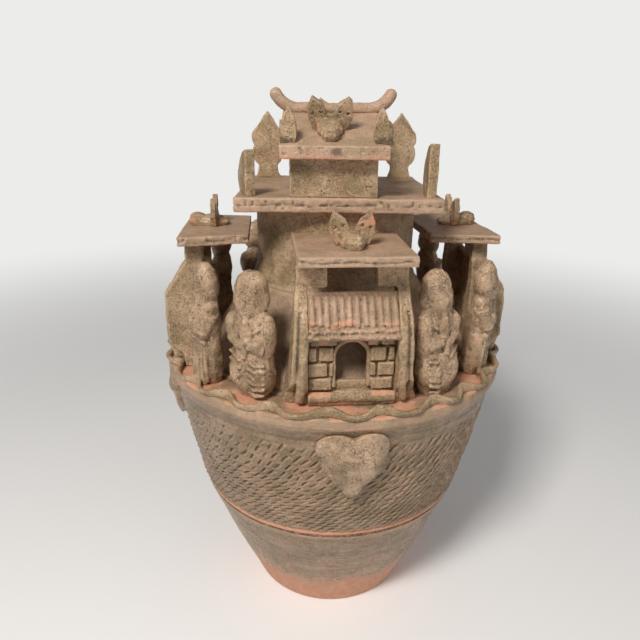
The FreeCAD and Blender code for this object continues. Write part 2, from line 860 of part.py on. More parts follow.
def dove_wing(name, side):
    """A raised wing: a pointed leaf, broad side forward, pierced by two small holes. It leans out, so its
    foot is lifted by as much as the lean would sink it."""
    half = p.dove_wing_width / 2
    wing = slab(name, "XZ_Plane", [
        (half * 0.7, 0),
        (half, p.dove_wing_tall * 0.4),
        (half * 0.8, p.dove_wing_tall * 0.7),
        (half * 0.1 * side, p.dove_wing_tall),
        (-half * 0.8, p.dove_wing_tall * 0.7),
        (-half, p.dove_wing_tall * 0.4),
        (-half * 0.7, 0),
    ], p.dove_wing_thickness)
    holes = sketch(wing, "XZ_Plane", name + "_holes")
    for step in (-1, 1):
        circle(holes, half * 0.42 * step, p.dove_wing_tall * 0.52, p.dove_eye_radius)
    pocket_through(wing, holes)
    lift = p.dove_wing_width * 0.085
    return placed(wing, x=p.dove_wing_spacing / 2 * side, y=p.dove_length * 0.16, z=lift,
                  lean=p.dove_wing_splay * side)


def dove_clay(name):
    """A pinched dove that looks along -Y: low body, round head, and two raised wings."""
    low = p.dove_body_tall
    wide = p.dove_body_width / 2
    long = p.dove_length
    body = lofted(name + "_body", [
        (0, 0, long * 0.02, wide * 0.9, long * 0.34),
        (low * 0.35, 0, long * 0.02, wide, long * 0.36),
        (low * 0.8, 0, long * 0.02, wide * 0.72, long * 0.26),
        (low, 0, long * 0.02, wide * 0.3, long * 0.1),
    ])
    head = lofted(name + "_head", [
        (0, 0, long * -0.3, wide * 0.6, long * 0.16),
        (low * 0.5, 0, long * -0.3, wide * 0.72, long * 0.2),
        (low * 0.95, 0, long * -0.3, wide * 0.6, long * 0.16),
        (low * 1.15, 0, long * -0.3, wide * 0.25, long * 0.07),
    ])
    wings = [dove_wing(f"{name}_left_wing", -1), dove_wing(f"{name}_right_wing", 1)]
    return fused([body, head, *wings], name + "_clay")


# Lid

def make_platform():
    """The square platform, its vent hole, and the ring under it that sits in the neck."""
    low = p.neck_top_height + p.seat_gap
    half = p.platform_side / 2
    platform = slab("platform_slab", "XY_Plane", [(-half, -half), (half, -half), (half, half), (-half, half)],
                    p.platform_thickness)
    vent = sketch(platform, "XY_Plane", "platform_vent")
    circle(vent, 0, 0, p.vent_radius)
    pocket_through(platform, vent)
    keep(placed(platform, z=low, turn=p.lid_turn), "lid_platform")
    outer = p.neck_radius - p.neck_wall - p.ring_clearance
    ring = turned("ring_section", [
        (outer - p.ring_wall, -p.ring_depth),
        (outer - p.ring_bevel, -p.ring_depth),
        (outer, -p.ring_depth + p.ring_bevel_tall),
        (outer, 0),
        (outer - p.ring_wall, 0),
    ])
    keep(placed(ring, z=low, turn=p.lid_turn), "lid_locating_ring")


def pavilion_middle():
    """How far back from the lid's middle the pavilion's ridge stands."""
    return p.pavilion_front_inset + p.pavilion_depth / 2 - p.platform_side / 2


def gable(name, reach, low_edge, rise, width, foot=None):
    """A gable drawn out along X: low edges at one height, a ridge above, and side walls where it has a foot."""
    middle = pavilion_middle()
    corners = [(middle - reach, low_edge), (middle + reach, low_edge), (middle, low_edge + rise)]
    if foot is not None:
        corners = [
            (middle - reach, foot),
            (middle + reach, foot),
            (middle + reach, low_edge),
            (middle, low_edge + rise),
            (middle - reach, low_edge),
        ]
    return slab(name, "YZ_Plane", corners, width, "Symmetric")


def pavilion_walls(reach, slope):
    """The pavilion's four walls, with gable ends that meet the underside of its roof."""
    half_depth = p.pavilion_depth / 2
    low_edge = p.soffit_height + (reach - half_depth) * slope
    block = gable("pavilion_block", half_depth, low_edge, half_depth * slope, p.pavilion_width, 0)
    wall = p.pavilion_wall
    room = primitive("Box", "pavilion_room", Length=p.pavilion_width - wall * 2,
                     Width=p.pavilion_depth - wall * 2, Height=p.soffit_height + p.roof_rise)
    placed(room, x=wall - p.pavilion_width / 2, y=pavilion_middle() - half_depth + wall)
    return cut(block, room, "pavilion_shell")


def ridge_clay(height):
    """The ridge roll: a bar along the ridge, bent up at both ends into round-tipped horns."""
    middle = pavilion_middle()
    pieces = [primitive("Cylinder", "ridge_bar", Radius=p.ridge_radius, Height=p.ridge_half_length * 2)]
    placed(pieces[0], x=-p.ridge_half_length, y=middle, z=height, lean=90)
    turn = math.radians(number_of(p.horn_turn))
    for side in (-1, 1):
        name = "left" if side < 0 else "right"
        horn = primitive("Torus", f"{name}_horn", Radius1=p.horn_bend, Radius2=p.ridge_radius, Angle3=p.horn_turn)
        centre = FreeCAD.Vector(side * number_of(p.ridge_half_length), number_of(middle),
                                number_of(height + p.horn_bend))
        stance = FreeCAD.Rotation(-Z_AXIS, X_AXIS * side, Y_AXIS * -side, "XYZ")
        horn.Placement = FreeCAD.Placement(centre, stance)
        tip = primitive("Sphere", f"{name}_horn_tip", Radius=p.ridge_radius)
        placed(tip, x=(p.ridge_half_length + p.horn_bend * math.sin(turn)) * side, y=middle,
               z=height + p.horn_bend * (1 - math.cos(turn)))
        pieces += [horn, tip]
    return fused(pieces, "ridge_clay")


def finial_clay(reach, roof_width, height):
    """Four leaf-shaped finials that stand near the corners of the pavilion's roof."""
    half = p.finial_width / 2
    finials = []
    for across in (-1, 1):
        for along in (-1, 1):
            finial = slab(f"finial_{len(finials)}", "XZ_Plane", [
                (half * 0.7, 0),
                (half, p.finial_tall * 0.5, p.finial_tall),
                (0, p.finial_tall, p.finial_tall * 0.9),
                (-half, p.finial_tall * 0.5, p.finial_tall * 0.9),
                (-half * 0.7, 0, p.finial_tall),
            ], p.finial_thickness, "Symmetric")
            placed(finial, x=(roof_width / 2 - p.finial_side_inset) * across,
                   y=pavilion_middle() + (reach - p.finial_front_inset) * along, z=height)
            finials.append(finial)
    return fused(finials, "finial_clay")


def make_pavilion(top):
    """The pavilion: hollow walls, a slab roof with its ridge along X, ridge roll, finials and two doves."""
    reach = p.pavilion_depth / 2 + p.roof_front_overhang
    slope = p.roof_rise / reach
    roof_width = p.pavilion_width + p.roof_side_overhang * 2
    eave = p.soffit_height + p.roof_thickness
    outer = gable("roof_outside", reach, eave, p.roof_rise, roof_width, p.soffit_height)
    inner = gable("roof_inside", reach, p.soffit_height, p.roof_rise, roof_width * 2)
    pieces = {
        "pavilion_walls": pavilion_walls(reach, slope),
        "pavilion_roof": cut(outer, inner, "roof_shell"),
        "roof_ridge": cut(ridge_clay(eave + p.roof_rise + p.ridge_stand), outer, "ridge_seated"),
        "roof_finials": cut(finial_clay(reach, roof_width, eave), outer, "finials_seated"),
    }
    for label, piece in pieces.items():
        keep(placed(piece, x=p.pavilion_offset, z=top, turn=p.lid_turn), label)
    pitch = math.degrees(math.atan(number_of(slope)))
    for name, side in (("front", -1), ("rear", 1)):
        bird = dove_clay(f"{name}_bird")
        placed(bird, x=p.pavilion_offset + p.roof_dove_offset * side,
               y=pavilion_middle() + (reach - p.roof_dove_inset) * side,
               z=top + eave + slope * p.roof_dove_inset, tilt=pitch, swing=90 + 90 * side, turn=p.lid_turn)
        keep(bird, f"{name}_roof_dove")


def front_fin(name, tall):
    """A slab on edge at a front corner: straight in front, bulging behind, cut off at a slant on top."""
    half = p.front_fin_long / 2
    return slab(name, "YZ_Plane", [
        (-half, 0),
        (half * 0.7, 0),
        (half, tall * 0.45, tall * 0.8),
        (-half * 0.35, tall * 0.94, tall * 0.9),
        (-half, tall),
    ], p.fin_thickness, "Symmetric")


def back_fin(name):
    """A slab on end at a back corner: waisted near its foot, scalloped at its sides, pointed on top."""
    half = p.back_fin_wide / 2
    tall = p.back_fin_tall
    flank = [
        (half * 0.85, 0),
        (half * 0.62, tall * 0.2, -(tall * 0.3)),
        (half * 0.85, tall * 0.5, tall * 0.22),
        (half * 0.8, tall * 0.74, tall * 0.16),
    ]
    arcs = [corner[2] for corner in flank[1:]]
    mirrored = [(-corner[0], corner[1]) for corner in reversed(flank)]
    other = [mirrored[0]] + [(*spot, arc) for spot, arc in zip(mirrored[1:], reversed(arcs))]
    return slab(name, "XZ_Plane", [*flank, (0, tall), *other], p.fin_thickness)


def make_fins(top):
    """The four slabs that stand at the corners of the platform."""
    left = front_fin("left_front_fin", p.left_front_fin_tall)
    right = front_fin("right_front_fin", p.right_front_fin_tall)
    placed(left, x=-p.front_fin_reach, y=-p.front_fin_setback, z=top, swing=p.left_front_fin_swing, turn=p.lid_turn)
    placed(right, x=p.front_fin_reach, y=-p.front_fin_setback, z=top, swing=p.right_front_fin_swing, turn=p.lid_turn)
    keep(left, "front_left_corner_slab")
    keep(right, "front_right_corner_slab")
    for name, side in (("left", -1), ("right", 1)):
        fin = back_fin(f"{name}_back_fin")
        placed(fin, x=p.back_fin_reach * side, y=p.back_fin_setback, z=top, swing=p.back_fin_swing * -side,
               turn=p.lid_turn)
        keep(fin, f"back_{name}_corner_slab")


def make_lid():
    make_platform()
    top = p.neck_top_height + p.seat_gap + p.platform_thickness
    make_pavilion(top)
    make_fins(top)


# The whole jar, checked and written

def check(document, things):
    """Stops if any object failed to compute, or any sub-part is empty or not valid."""
    for thing in document.Objects:
        if {"Invalid", "Error"} & set(thing.State):
            raise RuntimeError(f"{thing.Label} did not compute: {thing.State}")
    for thing in things:
        if thing.Shape.isNull() or not thing.Shape.isValid() or not thing.Shape.Solids:
            raise RuntimeError(f"{thing.Label} has no valid solid")


jar = make_jar()
shoulder = make_shoulder()
make_neck()
make_frill()
make_bosses(jar)
make_towers(shoulder)
make_figures(shoulder)
make_lid()
doc.recompute()
check(doc, nodes)
os.makedirs(OUT, exist_ok=True)
for node in nodes:
    node.Shape.exportStep(os.path.join(OUT, node.Label + ".step"))
print(len(nodes), "sub-parts")
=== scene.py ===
"""The looks of a lidded hunping: hand-built stoneware under a thin, pitted ash glaze.

Every piece of clay is made again round its frame node, with rounded edges, lumps, pits and cuts in the
mesh itself. Shapes are arrays of points in millimetres, and become meshes in metres at the end. Two
values ride on each mesh for the glaze to read: "hollow" is how far a spot lies in a recess, in
millimetres, and "bare" is how far the clay shows, from 0 to 1.
"""

import itertools
import json
import math

import bmesh
import bpy
import numpy as np
from mathutils import Euler, Matrix, Vector


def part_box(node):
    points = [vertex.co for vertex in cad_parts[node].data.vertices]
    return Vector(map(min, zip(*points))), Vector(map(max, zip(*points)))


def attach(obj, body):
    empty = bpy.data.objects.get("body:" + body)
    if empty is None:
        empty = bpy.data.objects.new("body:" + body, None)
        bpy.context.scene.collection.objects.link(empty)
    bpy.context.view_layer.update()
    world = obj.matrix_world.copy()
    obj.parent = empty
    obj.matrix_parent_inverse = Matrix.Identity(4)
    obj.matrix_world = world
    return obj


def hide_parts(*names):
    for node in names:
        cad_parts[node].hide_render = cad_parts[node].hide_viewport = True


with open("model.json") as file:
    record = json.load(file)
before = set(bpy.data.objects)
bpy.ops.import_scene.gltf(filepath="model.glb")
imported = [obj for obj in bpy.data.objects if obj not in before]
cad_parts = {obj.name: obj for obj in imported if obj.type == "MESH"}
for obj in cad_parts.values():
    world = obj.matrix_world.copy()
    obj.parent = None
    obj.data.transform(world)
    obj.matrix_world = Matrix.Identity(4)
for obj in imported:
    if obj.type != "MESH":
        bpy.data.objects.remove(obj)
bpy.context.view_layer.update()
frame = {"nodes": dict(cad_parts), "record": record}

MM = 0.001

# The jar, in millimetres
FOOT_RADIUS = 71.0
BAND_HEIGHT = 109.5
BAND_RADIUS = 116.5
BELLY_SWELL = 1.2
COLLAR_HEIGHT = 211.0
COLLAR_RADIUS = 138.4
SEAM_HEIGHT = 222.5
RIM_RADIUS = 144.0
WALL = 8.0
FLOOR = 9.0
LEDGE_HEIGHT = 230.0
LEDGE_INNER = 116.0
NECK_FOOT_RADIUS = 70.0
NECK_FOOT_HEIGHT = 294.0
NECK_RADIUS = 65.0
NECK_WALL = 7.0
NECK_TOP = 357.0

# Towers. A side gate stands further out than a front or back one, and its roof is lower
SIDES = {"front": 0, "right": 90, "back": 180, "left": 270}
SIDE_GATES = ("right", "left")
SIDE_SHIFT = 10.0
SIDE_DROP = 4.5
GATE_HALF = 31.0
WALL_FACE = 118.0
EAVE_RADIUS = 129.0
EAVE_HEIGHT = 282.5
TILE_TOP_RADIUS = 112.0
TILE_TOP_HEIGHT = 311.5
TOWER_ROOF_TOP = 340.5

# Figures: turn about the jar's axis, how far out the foot stands, and the lean inwards
FIGURES = {
    "front_right_piper": (32.5, 122.5, 5.0),
    "front_right_attendant": (56.6, 125.5, -3.0),
    "back_right_piper": (146.0, 121.0, 3.0),
    "back_right_attendant": (124.5, 124.5, 1.0),
    "back_left_piper": (213.5, 121.5, 2.0),
    "back_left_attendant": (236.0, 124.0, 2.0),
    "front_left_piper": (325.0, 120.5, 1.0),
    "front_left_attendant": (305.2, 125.0, 0.0),
}

# The lid: its turn, and its pavilion's middle, eave and roof slope
LID_TURN = -4.6
PAVILION_X = -4.0
PAVILION_Y = -29.5
PAVILION_EAVE = 403.3
ROOF_SLOPE = 22.5 / 53.0

HOLLOW_ROUNDS = 6


def held(values):
    """Values held between 0 and 1."""
    return np.clip(values, 0, 1)


# Noise

def hashed(cell, seed):
    """A steady number from 0 to 1 for each lattice cell."""
    mixed = cell[:, 0] * 73856093 ^ cell[:, 1] * 19349663 ^ cell[:, 2] * 83492791 ^ (seed + 7) * 2654435
    mixed = (mixed ^ (mixed >> 13)) * 1274126177 & 0x7FFFFFFF
    mixed = (mixed ^ (mixed >> 15)) * 668265263 & 0x7FFFFFFF
    return (mixed >> 7 & 0xFFFF) / 65535.0


def noise(points, size, seed=0, stretch=(1, 1, 1)):
    """Smooth noise from -1 to 1, with lumps about size millimetres across."""
    grid = points / (np.array(stretch) * size) + seed * 17.31
    base = np.floor(grid).astype(np.int64)
    part = grid - base
    part = part * part * (3 - 2 * part)
    total = np.zeros(len(points))
    for corner in itertools.product((0, 1), repeat=3):
        share = np.prod(np.where(corner, part, 1 - part), axis=1)
        total += share * hashed(base + corner, seed)
    return total * 2 - 1


def pits(points, size, seed, rarity=0.45):
    """Small round dips, from 0 to 1."""
    return held((noise(points, size, seed) - rarity) / (1 - rarity))


# Meshes as arrays: points in millimetres, and faces as lists of four or three corners

def normals(points, faces):
    """The outward direction at each point, weighted by the faces round it."""
    across = points[faces[:, 2]] - points[faces[:, 0]]
    along = points[faces[:, 3]] - points[faces[:, 1]]
    direction = np.cross(across, along)
    total = np.zeros_like(points)
    for corner in faces.T:
        for axis in range(3):
            total[:, axis] += np.bincount(corner, weights=direction[:, axis], minlength=len(points))
    length = np.linalg.norm(total, axis=1, keepdims=True)
    return total / np.maximum(length, 1e-9)


def hollows(points, faces, facing=None):
    """How far each point lies in a recess, in millimetres. Ridges and edges are below zero."""
    facing = normals(points, faces) if facing is None else facing
    rolled = np.roll(faces, -1, axis=1)
    one = np.concatenate([faces.ravel(), rolled.ravel()])
    other = np.concatenate([rolled.ravel(), faces.ravel()])
    count = np.maximum(np.bincount(one, minlength=len(points)), 1)
    middles = points
    for _ in range(HOLLOW_ROUNDS):
        middles = np.stack([
            np.bincount(one, weights=middles[other, axis], minlength=len(points)) / count
            for axis in range(3)
        ], axis=1)
    return np.einsum("ij,ij->i", middles - points, facing)


def pressed(points, faces, push):
    """Points pushed out along the skin's own directions, by so many millimetres each."""
    return points + normals(points, faces) * push[:, None]


def placed(name, data):
    """A new object in the scene."""
    thing = bpy.data.objects.new(name, data)
    bpy.context.collection.objects.link(thing)
    return thing


def finished(node, points, faces, bare, hollow=None, name=None):
    """Makes the piece that stands for a node, with its material, its two values and its body."""
    name, slot = name or f"{node}_clay", SLOT_OF[node]
    if hollow is None:
        hollow = hollows(points, faces)
    mesh = bpy.data.meshes.new(name)
    mesh.vertices.add(len(points))
    mesh.vertices.foreach_set("co", (points * MM).astype(np.float32).ravel())
    mesh.loops.add(faces.size)
    mesh.loops.foreach_set("vertex_index", faces.ravel().astype(np.int32))
    mesh.polygons.add(len(faces))
    mesh.polygons.foreach_set("loop_start", np.arange(0, faces.size, 4, dtype=np.int32))
    mesh.update(calc_edges=True)
    mesh.validate()
    mesh.shade_smooth()
    for label, values in (("hollow", hollow), ("bare", bare)):
        layer = mesh.attributes.new(label, "FLOAT", "POINT")
        layer.data.foreach_set("value", values.astype(np.float32))
    piece = placed(name, mesh)
    mesh.materials.append(MATERIALS[slot])
    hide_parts(node)
    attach(piece, BODY_OF[node])


def node_shape(node):
    """A node's points and triangles, in millimetres."""
    mesh = frame["nodes"][node].data
    points = np.empty(len(mesh.vertices) * 3, dtype=np.float32)
    mesh.vertices.foreach_get("co", points)
    mesh.calc_loop_triangles()
    faces = np.empty(len(mesh.loop_triangles) * 3, dtype=np.int32)
    mesh.loop_triangles.foreach_get("vertices", faces)
    return points.reshape(-1, 3).astype(float) / MM, faces.reshape(-1, 3).tolist()


def merged(shapes, voxel, smooth=2):
    """One skin round several overlapping closed shapes, as points and quads, with its edges softened."""
    points, faces = [], []
    for shape_points, shape_faces in shapes:
        faces += [[corner + len(points) for corner in face] for face in shape_faces]
        points += (shape_points * MM).tolist()
    mesh = bpy.data.meshes.new("merging")
    mesh.from_pydata(points, [], faces)
    thing = placed("merging", mesh)
    remesh = thing.modifiers.new("skin", "REMESH")
    remesh.mode = "VOXEL"
    remesh.voxel_size = voxel * MM * 1
    remesh.adaptivity = 0
    softened = thing.modifiers.new("softened", "SMOOTH")
    softened.iterations = smooth
    made = bpy.data.meshes.new_from_object(thing.evaluated_get(bpy.context.evaluated_depsgraph_get()))
    out = np.empty(len(made.vertices) * 3, dtype=np.float32)
    made.vertices.foreach_get("co", out)
    corners = np.empty(len(made.loops), dtype=np.int32)
    made.loops.foreach_get("vertex_index", corners)
    bpy.data.objects.remove(thing)
    bpy.data.meshes.remove(mesh)
    bpy.data.meshes.remove(made)
    return out.reshape(-1, 3).astype(float) / MM, corners.reshape(-1, 4)


def clay(points, faces, seed, lump=0.45, rough=0.2, pit=0.35, pit_size=1.9):
    """Lumps, roughness and pits pressed into a skin along its normals."""
    push = lump * noise(points, 13, seed) + rough * noise(points, 3.2, seed + 1)
    push += rough * 0.5 * noise(points, 1.5, seed + 2)
    push -= pit * pits(points, pit_size, seed + 3)
    return pressed(points, faces, push)


def modelled(shapes, voxel, smooth, seed, **touch):
    """One skin round some shapes, worked over by hand."""
    points, faces = merged(shapes, voxel, smooth)
    return clay(points, faces, seed, **touch), faces


# Simple closed shapes to merge

def turned_by(points, turn=0, lean=0, tilt=0):
    """Points tilted about X, leaned about Y and turned about Z, in degrees."""
    spin = np.array(Euler([math.radians(a) for a in (tilt, lean, turn)]).to_matrix())
    return points @ spin.T


def ball(middle, radii, **turns):
    """An egg of clay."""
    made = bmesh.new()
    bmesh.ops.create_icosphere(made, subdivisions=3, radius=1)
    points = np.array([vertex.co[:] for vertex in made.verts])
    faces = [[vertex.index for vertex in face.verts] for face in made.faces]
    made.free()
    return turned_by(points * np.array(radii), **turns) + np.array(middle), faces


def rod(start, end, start_radius, end_radius, sides=14):
    """A tapered roll of clay between two points."""
    start, end = np.array(start, float), np.array(end, float)
    along = Vector(end - start).to_track_quat("Z", "Y").to_matrix()
    turns = 2 * math.pi * np.arange(sides) / sides
    ring = np.stack([np.cos(turns), np.sin(turns), turns * 0], axis=1) @ np.array(along).T
    points = np.concatenate([start + ring * start_radius, end + ring * end_radius])
    faces = [[s, (s + 1) % sides, sides + (s + 1) % sides, sides + s] for s in range(sides)]
    faces += [list(range(sides))[::-1], list(range(sides, sides * 2))]
    return points, faces


def block(low, high, **turns):
    """A block of clay between two corners, turned about its own middle."""
    low, high = np.array(low, float), np.array(high, float)
    middle = (low + high) / 2
    corners = np.array(list(itertools.product((-1, 1), repeat=3))) * (high - low) / 2
    faces = [[0, 1, 3, 2], [4, 6, 7, 5], [0, 4, 5, 1], [2, 3, 7, 6], [0, 2, 6, 4], [1, 5, 7, 3]]
    return turned_by(corners, **turns) + middle, faces


def put(points, matrix):
    """Points moved by a matrix in millimetres."""
    return points @ np.array(matrix.to_3x3()).T + np.array(matrix.translation)


def moved(shapes, matrix):
    return [(put(points, matrix), faces) for points, faces in shapes]


def about_axis(turn):
    return Matrix.Rotation(math.radians(turn), 4, "Z")


# Turned walls

def wall_grid(outside, inside, columns, row):
    """A closed wall: an outside profile going up in fine rows, then an inside profile coming down.

    Profiles are lists of (radius, height). It returns points, faces, and which points are on the outside.
    """
    fine = []
    for (r0, z0), (r1, z1) in zip(outside, outside[1:]):
        steps = max(1, round(math.hypot(r1 - r0, z1 - z0) / row))
        fine += [(r0 + (r1 - r0) * step / steps, z0 + (z1 - z0) * step / steps) for step in range(steps)]
    fine.append(outside[-1])
    profile = np.array(fine + list(inside))
    angles = np.linspace(0, 2 * math.pi, columns, endpoint=False) - math.pi / 2
    radius = np.repeat(profile[:, 0], columns)
    points = np.stack([
        radius * np.tile(np.cos(angles), len(profile)),
        radius * np.tile(np.sin(angles), len(profile)),
        np.repeat(profile[:, 1], columns),
    ], axis=1)
    rows = np.arange(len(profile))
    start = rows[:, None] * columns + np.arange(columns)
    beside = rows[:, None] * columns + (np.arange(columns) + 1) % columns
    above, above_beside = np.roll(start, -1, axis=0), np.roll(beside, -1, axis=0)
    faces = np.stack([start, beside, above_beside, above], axis=-1).reshape(-1, 4)
    outer = np.repeat(rows < len(fine), columns)
    return points, faces, outer


def belly_radius(height):
    """The jar's outside radius at a height."""
    middle = (BAND_HEIGHT + COLLAR_HEIGHT) / 2
    heights = [0, BAND_HEIGHT / 2, BAND_HEIGHT, middle, COLLAR_HEIGHT, SEAM_HEIGHT]
    radii = [
        FOOT_RADIUS, (FOOT_RADIUS + BAND_RADIUS) / 2 + BELLY_SWELL, BAND_RADIUS,
        (BAND_RADIUS + COLLAR_RADIUS) / 2 + BELLY_SWELL, COLLAR_RADIUS, RIM_RADIUS,
    ]
    return np.interp(height, heights, radii)


ROW_COUNT = 104
ROW_GAP = 2 * math.pi * 126 / ROW_COUNT
ROW_DRIFT = (1.25, 0.5)
DASH_SPACING = (5.3, 12.5)
DASH_WIDTH = 0.72
DASH_TWIST = 0.5
DASH_DEPTH = 1.3
BAND_TOP = 206.0
BAND_FOOT = 118.0


def dashes(points):
    """How far the slanted rows of cuts push the band: short and level low down, long and steep higher up."""
    angle = np.arctan2(points[:, 1], points[:, 0])
    height = points[:, 2]
    rise = height - BAND_FOOT
    steps = np.linspace(-15, 110, 251)
    share = held(steps / (BAND_TOP - BAND_FOOT))
    drift = ROW_DRIFT[0] + (ROW_DRIFT[1] - ROW_DRIFT[0]) * share
    spacing = DASH_SPACING[0] + (DASH_SPACING[1] - DASH_SPACING[0]) * share ** 1.3
    shift = np.cumsum(drift) * (steps[1] - steps[0])
    count = np.cumsum(np.hypot(1, drift) / spacing) * (steps[1] - steps[0])
    drift, spacing, shift, count = (np.interp(rise, steps, line) for line in (drift, spacing, shift, count))
    across = angle * ROW_COUNT / (2 * math.pi) - shift / ROW_GAP + noise(points, 19, 41) * 0.4
    across += noise(points, 5, 42) * 0.1
    row = np.floor(across)
    key = np.stack([np.mod(row, ROW_COUNT), row * 0 + 3, row * 0 + 5], axis=1).astype(np.int64)
    along = count + hashed(key, 11)
    step = np.floor(along)
    key[:, 1] = step.astype(np.int64)
    depth = 0.45 + 0.8 * hashed(key, 12)
    beside = (across - row - 0.5) * ROW_GAP / np.hypot(1, drift) + (hashed(key, 13) - 0.5) * 1.1
    length = (along - step - 0.5) * spacing
    twist = DASH_TWIST * np.clip(1 - rise / 70, 0.1, 1)
    flat = length * np.cos(twist) + beside * np.sin(twist)
    off = (beside * np.cos(twist) - length * np.sin(twist)) / DASH_WIDTH
    reach = spacing * (0.36 + 0.12 * hashed(key, 14))
    shape = held((reach - np.abs(flat)) / (reach * 0.5))
    cut = np.exp(-((off + 0.4) ** 2)) * shape * depth
    ridge = np.exp(-(((off - 1.9) / 1.5) ** 2)) * held(shape * 1.5) * depth
    fade = held((rise + 4) / 4) * held((BAND_TOP - height) / 8 + noise(points, 9, 43) * 0.6)
    return (ridge * 0.6 - cut) * DASH_DEPTH * fade


def make_band():
    """The impressed upper wall of the jar, from the double groove to the seam under the shoulder."""
    low = BAND_HEIGHT
    outside = [(belly_radius(z), z) for z in (low, (low + COLLAR_HEIGHT) / 2, COLLAR_HEIGHT, SEAM_HEIGHT)]
    inside = [
        (RIM_RADIUS - WALL, SEAM_HEIGHT), (COLLAR_RADIUS - WALL, COLLAR_HEIGHT), (BAND_RADIUS - WALL, low),
    ]
    points, faces, outer = wall_grid(outside, inside, 1300, 0.7)
    push = 0.5 * noise(points, 22, 1) + 0.16 * noise(points, 3.0, 2) - 0.25 * pits(points, 1.7, 3, 0.55)
    push += dashes(points)
    height = points[:, 2]
    for groove in (low + 1.9, low + 6.4):
        push -= 1.3 * np.exp(-((height - groove - 0.5 * noise(points, 40, 4)) / 1.0) ** 2)
    push -= 0.3 * np.exp(-((height - COLLAR_HEIGHT - 1.0 * noise(points, 30, 5)) / 1.2) ** 2)
    edge = held((height - low) / 1.0) * held((SEAM_HEIGHT - height) / 1.5)
    points = pressed(points, faces, np.where(outer, push * edge, 0))
    drift = noise(points, 26, 6) * 2.5
    bare = held(1.25 - np.abs(height - low - 4.4 - drift * 0.25) / 3.4)
    bare[~outer] = 0.8
    finished("jar_body", points, faces, bare, name="jar_band")


def make_foot():
    """The plain lower wall, floor and foot of the jar, with the lines the wheel left."""
    low_inner = FOOT_RADIUS - WALL + 2
    outside = [(belly_radius(z), z) for z in (1.2, BAND_HEIGHT / 2, BAND_HEIGHT)]
    inside = [
        (BAND_RADIUS - WALL, BAND_HEIGHT), (low_inner + 1.5, FLOOR + 1), (low_inner - 3, FLOOR),
        (0.3, FLOOR), (0.3, 2.6), (56.5, 2.6), (58.0, 0.3), (FOOT_RADIUS - 2, 0.0), (FOOT_RADIUS - 0.5, 0.3),
    ]
    points, faces, outer = wall_grid(outside, inside, 640, 0.95)
    height = points[:, 2]
    lines = noise(points, 1.9, 21, (30, 30, 1)) * 0.22 + noise(points, 5.5, 22, (12, 12, 1)) * 0.2
    push = 0.3 * noise(points, 24, 23) + lines + 0.06 * noise(points, 1.6, 24)
    edge = held((height - 1) / 3) * held((BAND_HEIGHT - height) / 1.0)
    points = pressed(points, faces, np.where(outer, push * edge, 0))
    drift = noise(points, 34, 25, (1, 1, 0.7)) * 9 + noise(points, 9, 26, (2, 2, 0.6)) * 3
    bare = np.clip((62 - height + drift) / 44, 0, 0.78)
    bare = np.maximum(bare, held((height - BAND_HEIGHT + 1.4 - drift * 0.08) / 1.6))
    bare[~outer] = 1.0
    finished("jar_body", points, faces, bare, name="jar_foot_wall")


def make_shoulder():
    """The ledge that carries the figures, and the cone that climbs to the neck."""
    outside = [
        (RIM_RADIUS, SEAM_HEIGHT), (RIM_RADIUS, SEAM_HEIGHT + 3.5), (RIM_RADIUS - 0.9, SEAM_HEIGHT + 5.6),
        (RIM_RADIUS - 2, LEDGE_HEIGHT), (LEDGE_INNER, LEDGE_HEIGHT),
        (LEDGE_INNER - 4.2, LEDGE_HEIGHT + 2.1), (LEDGE_INNER - 7, LEDGE_HEIGHT + 7),
        (NECK_FOOT_RADIUS, NECK_FOOT_HEIGHT),
    ]
    inside = [
        (NECK_FOOT_RADIUS - NECK_WALL, NECK_FOOT_HEIGHT), (LEDGE_INNER - 13.5, LEDGE_HEIGHT + 7),
        (LEDGE_INNER - 3.2, LEDGE_HEIGHT - 6.5), (RIM_RADIUS - WALL, SEAM_HEIGHT),
    ]
    points, faces, outer = wall_grid(outside, inside, 620, 1.15)
    push = 0.35 * noise(points, 19, 31) + 0.18 * noise(points, 3.4, 32) - 0.3 * pits(points, 1.9, 33)
    height = points[:, 2]
    rim = held((height - SEAM_HEIGHT) / 1.5)
    push = np.where(height < LEDGE_HEIGHT + 1, np.minimum(push, 0), push)
    edge = rim * held((NECK_FOOT_HEIGHT - height) / 1.5)
    points = pressed(points, faces, np.where(outer, push * edge, 0))
    reach = np.hypot(points[:, 0], points[:, 1])
    bare = held((reach - 117) / 7) * held(0.62 + noise(points, 15, 34) * 1.1)
    seam = held(1.1 - np.abs(height - SEAM_HEIGHT - 0.7 - 0.6 * noise(points, 24, 36)) / 1.1)
    bare = np.where(height < LEDGE_HEIGHT - 1.2, seam * held(0.55 + noise(points, 12, 35)), bare)
    bare[~outer] = 1.0
    finished("shoulder", points, faces, bare)


